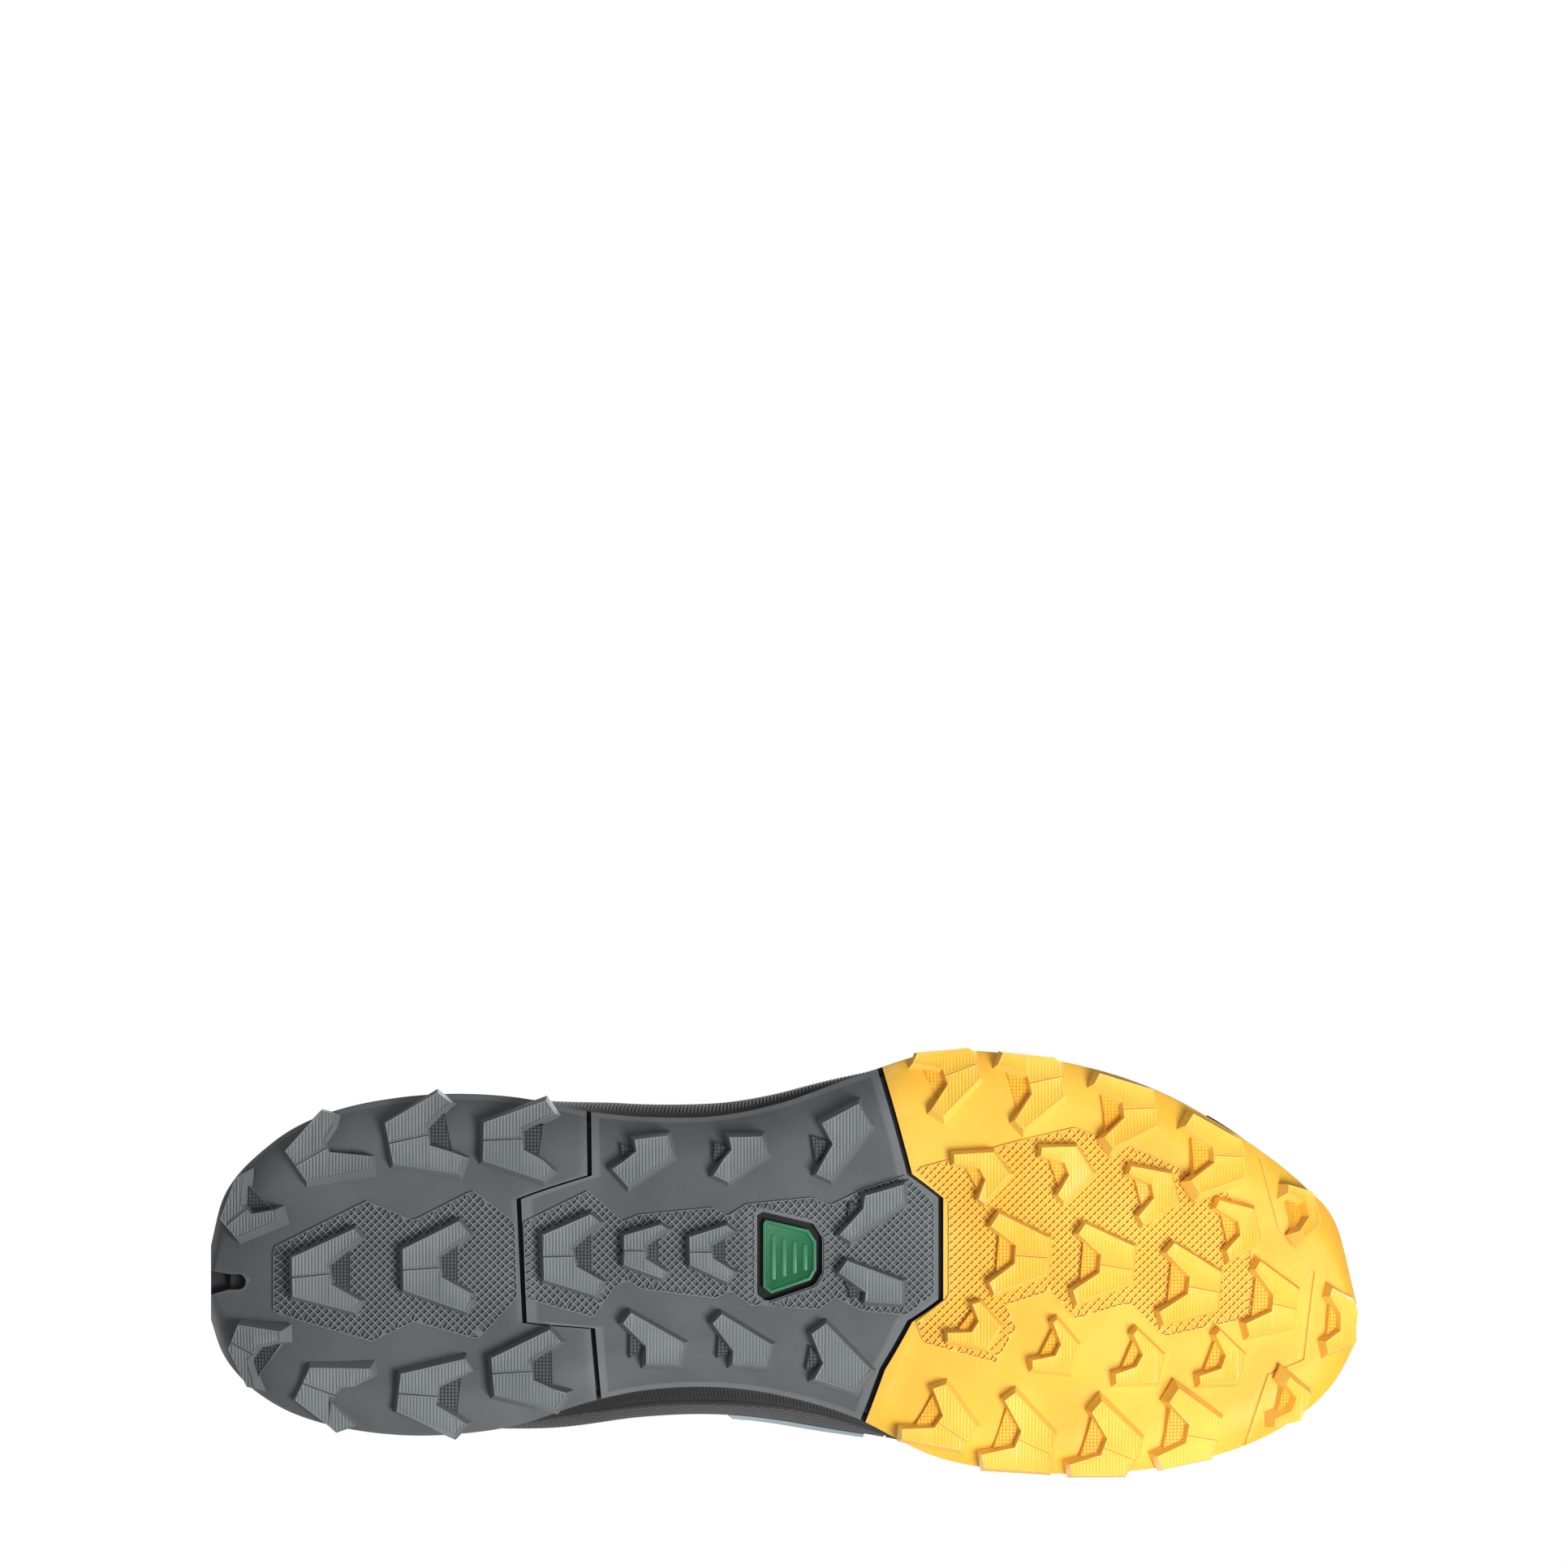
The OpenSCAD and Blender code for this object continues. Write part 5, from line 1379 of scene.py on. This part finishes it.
def tonguePart(s0, s1, rows, thick, quilts, puff):
    # a padded blade between two places on its path, with pressed channels across it
    def place(u, v, side):
        s = mix(s0, s1, u)
        w = v * 2 - 1
        ends = smooth(u / 0.12) * smooth((1 - u) / 0.12)
        full = (1 - abs(w) ** 5) ** 0.5 * (1 - puff + puff * ends)
        for quilt in quilts:
            full *= 1 - 0.3 * math.exp(-((u - quilt) / 0.03) ** 2) * (1 - w ** 4)
        full = max(0.16, full)
        return tonguePoint(s, w, -thick / 2 + (-1 if side else 1) * thick / 2 * full)

    return sheetSolid(rows, 28, place, (20 * (s1 - s0), 40), 0.0)


def buildTongue():
    bm = tonguePart(0, tongue["fold"] - tongue["foldGap"], 70, tongue["thick"], (), 0.3)
    finishPiece(bm, "tongueLower", [blackKnit], "flex", ["tongue_lower"], 60)
    bm = tonguePart(tongue["fold"] + tongue["foldGap"], 7, 56, tongue["thick"] + 1, (0.3, 0.62), 0.45)
    first = tongue["fold"] + tongue["foldGap"]
    for w in (-0.8, 0.8):
        addStitches(bm, lambda t: tonguePoint(mix(first + 0.15, 6.85, t), w, -1.0), 12, 1)
    piece = finishPiece(bm, "tonguePad", [blackKnit, thread], "tongue_top",
                        ["tongue_pad"], 60)
    print("tongue")


buildTongue()


# ---------- lacing ----------

lacing = {
    "loops": 5,
    "height": 0.95,      # place of the loops up the side
    "loopRadius": 5.2,
    "loopWidth": 3.2,
    "loopThick": 1.0,
    "cord": 2.6,
    "overlay": 1.45,     # top of the eyestay above the skin
    "clear": 1.0,        # space under the cord inside a loop
    "reach": 3.2,        # straight run of the cord on both sides of a loop
    "frontReach": 5.5,   # the same behind the front loops, which point inwards
}
toggle = {
    "place": (-27, 1, 99.5),
    "size": (15, 11, 6),
    "lean": 25,
}


def loopFrame(side, k):
    s = mix(upperLook["throat"], 9.3, k / (lacing["loops"] - 1))
    v = lacing["height"]
    ahead = (skinAt(side * (s + 0.02), v) - skinAt(side * (s - 0.02), v)).normalized()
    return side * s, ahead, skinNormal(side * s, v)


def throughLoop(side, k, way):
    s, ahead, _ = loopFrame(side, k)
    o = skinOff(s, lacing["height"], lacing["overlay"] + lacing["cord"] / 2 + lacing["clear"])
    behind = o - ahead * lacing["frontReach" if k == lacing["loops"] - 1 else "reach"]
    before = o + ahead * lacing["reach"]
    return [behind, o, before] if way > 0 else [before, o, behind]


def crossing(a, b, h):
    return (a + b) / 2 + Vector((0, 0, h))


def lacePath():
    last = lacing["loops"] - 1
    down = [throughLoop(-1 if k % 2 == 0 else 1, k, 1) for k in range(last + 1)]
    up = [throughLoop(1 if k % 2 == 0 else -1, k, -1) for k in range(last, -1, -1)]
    at = Vector(toggle["place"])
    path = [at + Vector((-6, 2.5, 0.5)), Vector((-41, 8, 105)), Vector((-44, 17, 104.5))]
    for row, h in ((down, 6.5), (up, 3)):
        for i, pair in enumerate(row):
            path += pair
            if i < last:
                path.append(crossing(pair[2], row[i + 1][0], h))
        if row is down:
            path.append(crossing(down[last][2], up[0][0], 3))
    return path + [Vector((-44, -15, 104.5)), Vector((-41, -6, 105)), at + Vector((-6, -2.5, 0.5))]


def buildLacing():
    look = lacing
    for side, name in ((1, "lateral"), (-1, "medial")):
        bm = bmesh.new()
        for k in range(look["loops"]):
            s, _, normal = loopFrame(side, k)
            along = (skinAt(s + 0.02, look["height"]) - skinAt(s - 0.02, look["height"])).normalized()
            across = normal.cross(along)
            o = skinOff(s, look["height"], look["overlay"] + 0.15)

            def place(u, v, part):
                a = math.pi * u
                r = look["loopRadius"] + look["loopThick"] * (-0.5 if part else 0.5)
                ring = across * r * math.cos(a) + normal * r * math.sin(a)
                return o + ring + along * look["loopWidth"] * (v - 0.5)

            joinInto(bm, sheetSolid(22, 4, place, (15, 3.2), 0.2))
        finishPiece(bm, name + "LaceLoops", [webbingBand], "flex", ["lace_loops_" + name], 50)
    path = lacePath()
    count = 9 * (len(path) - 1)
    bm = tubeSolid([pathAt(path, k / 9) for k in range(count + 1)], look["cord"] / 2, 14)
    finishPiece(bm, "laceCord", [laceBraid], "flex", ["lace_cord"], 60)

    bm = bmesh.new()
    bmesh.ops.create_cube(bm, size=1)
    bmesh.ops.scale(bm, vec=toggle["size"], verts=bm.verts)
    upright = [e for e in bm.edges if abs(e.verts[0].co.z - e.verts[1].co.z) > 1]
    bmesh.ops.bevel(bm, geom=upright, offset=3, segments=6, profile=0.5, affect="EDGES", material=-1)
    flat = [f for f in bm.faces if abs(f.normal.z) > 0.9]
    rims = list({e for f in flat for e in f.edges})
    bmesh.ops.bevel(bm, geom=rims, offset=0.9, segments=3, profile=0.5, affect="EDGES", material=-1)
    button = bmesh.new()
    bmesh.ops.create_cone(button, cap_ends=True, segments=32, radius1=3, radius2=2.7, depth=1.4)
    bmesh.ops.translate(button, vec=(1.5, 0, toggle["size"][2] / 2 - 0.1), verts=button.verts)
    rims = [e for e in button.edges if e.calc_face_angle(0) > 0.8]
    bmesh.ops.bevel(button, geom=rims, offset=0.25, segments=2, profile=0.5, affect="EDGES", material=-1)
    joinInto(bm, button)
    place = Matrix.Translation(toggle["place"]) @ Matrix.Rotation(math.radians(toggle["lean"]), 4, "Y")
    bmesh.ops.transform(bm, matrix=place, verts=bm.verts)
    finishPiece(bm, "laceToggle", [toggleShell], "flex", ["lace_toggle"], 40)
    print("lacing: loops, cord and toggle")


buildLacing()


# ---------- pull loop ----------

def buildPullLoop():
    look = {"foot": (-141.8, 5, 98), "rise": 10.5, "width": 10, "radius": 3.9, "thick": 1.1}
    x, y, z = look["foot"]
    turn = math.pi * look["radius"]
    whole = 2 * (turn + look["rise"])

    def place(u, v, side):
        r = look["radius"] - (look["thick"] if side else 0)
        run = (u % 1) * whole
        if run < look["rise"]:
            a, up = 0, run
        elif run < look["rise"] + turn:
            a, up = (run - look["rise"]) / look["radius"], look["rise"]
        elif run < 2 * look["rise"] + turn:
            a, up = math.pi, 2 * look["rise"] + turn - run
        else:
            a, up = math.pi + (run - 2 * look["rise"] - turn) / look["radius"], 0
        return Vector((x + r * math.cos(a), y + look["width"] * (v - 0.5), z + up + r * math.sin(a)))

    bm = sheetSolid(90, 8, place, (whole, look["width"]), 0.2, True)
    finishPiece(bm, "heelPullLoop", [webbingBand], "pull_loop", ["heel_pull_loop"], 50)
    print("pull loop")


buildPullLoop()
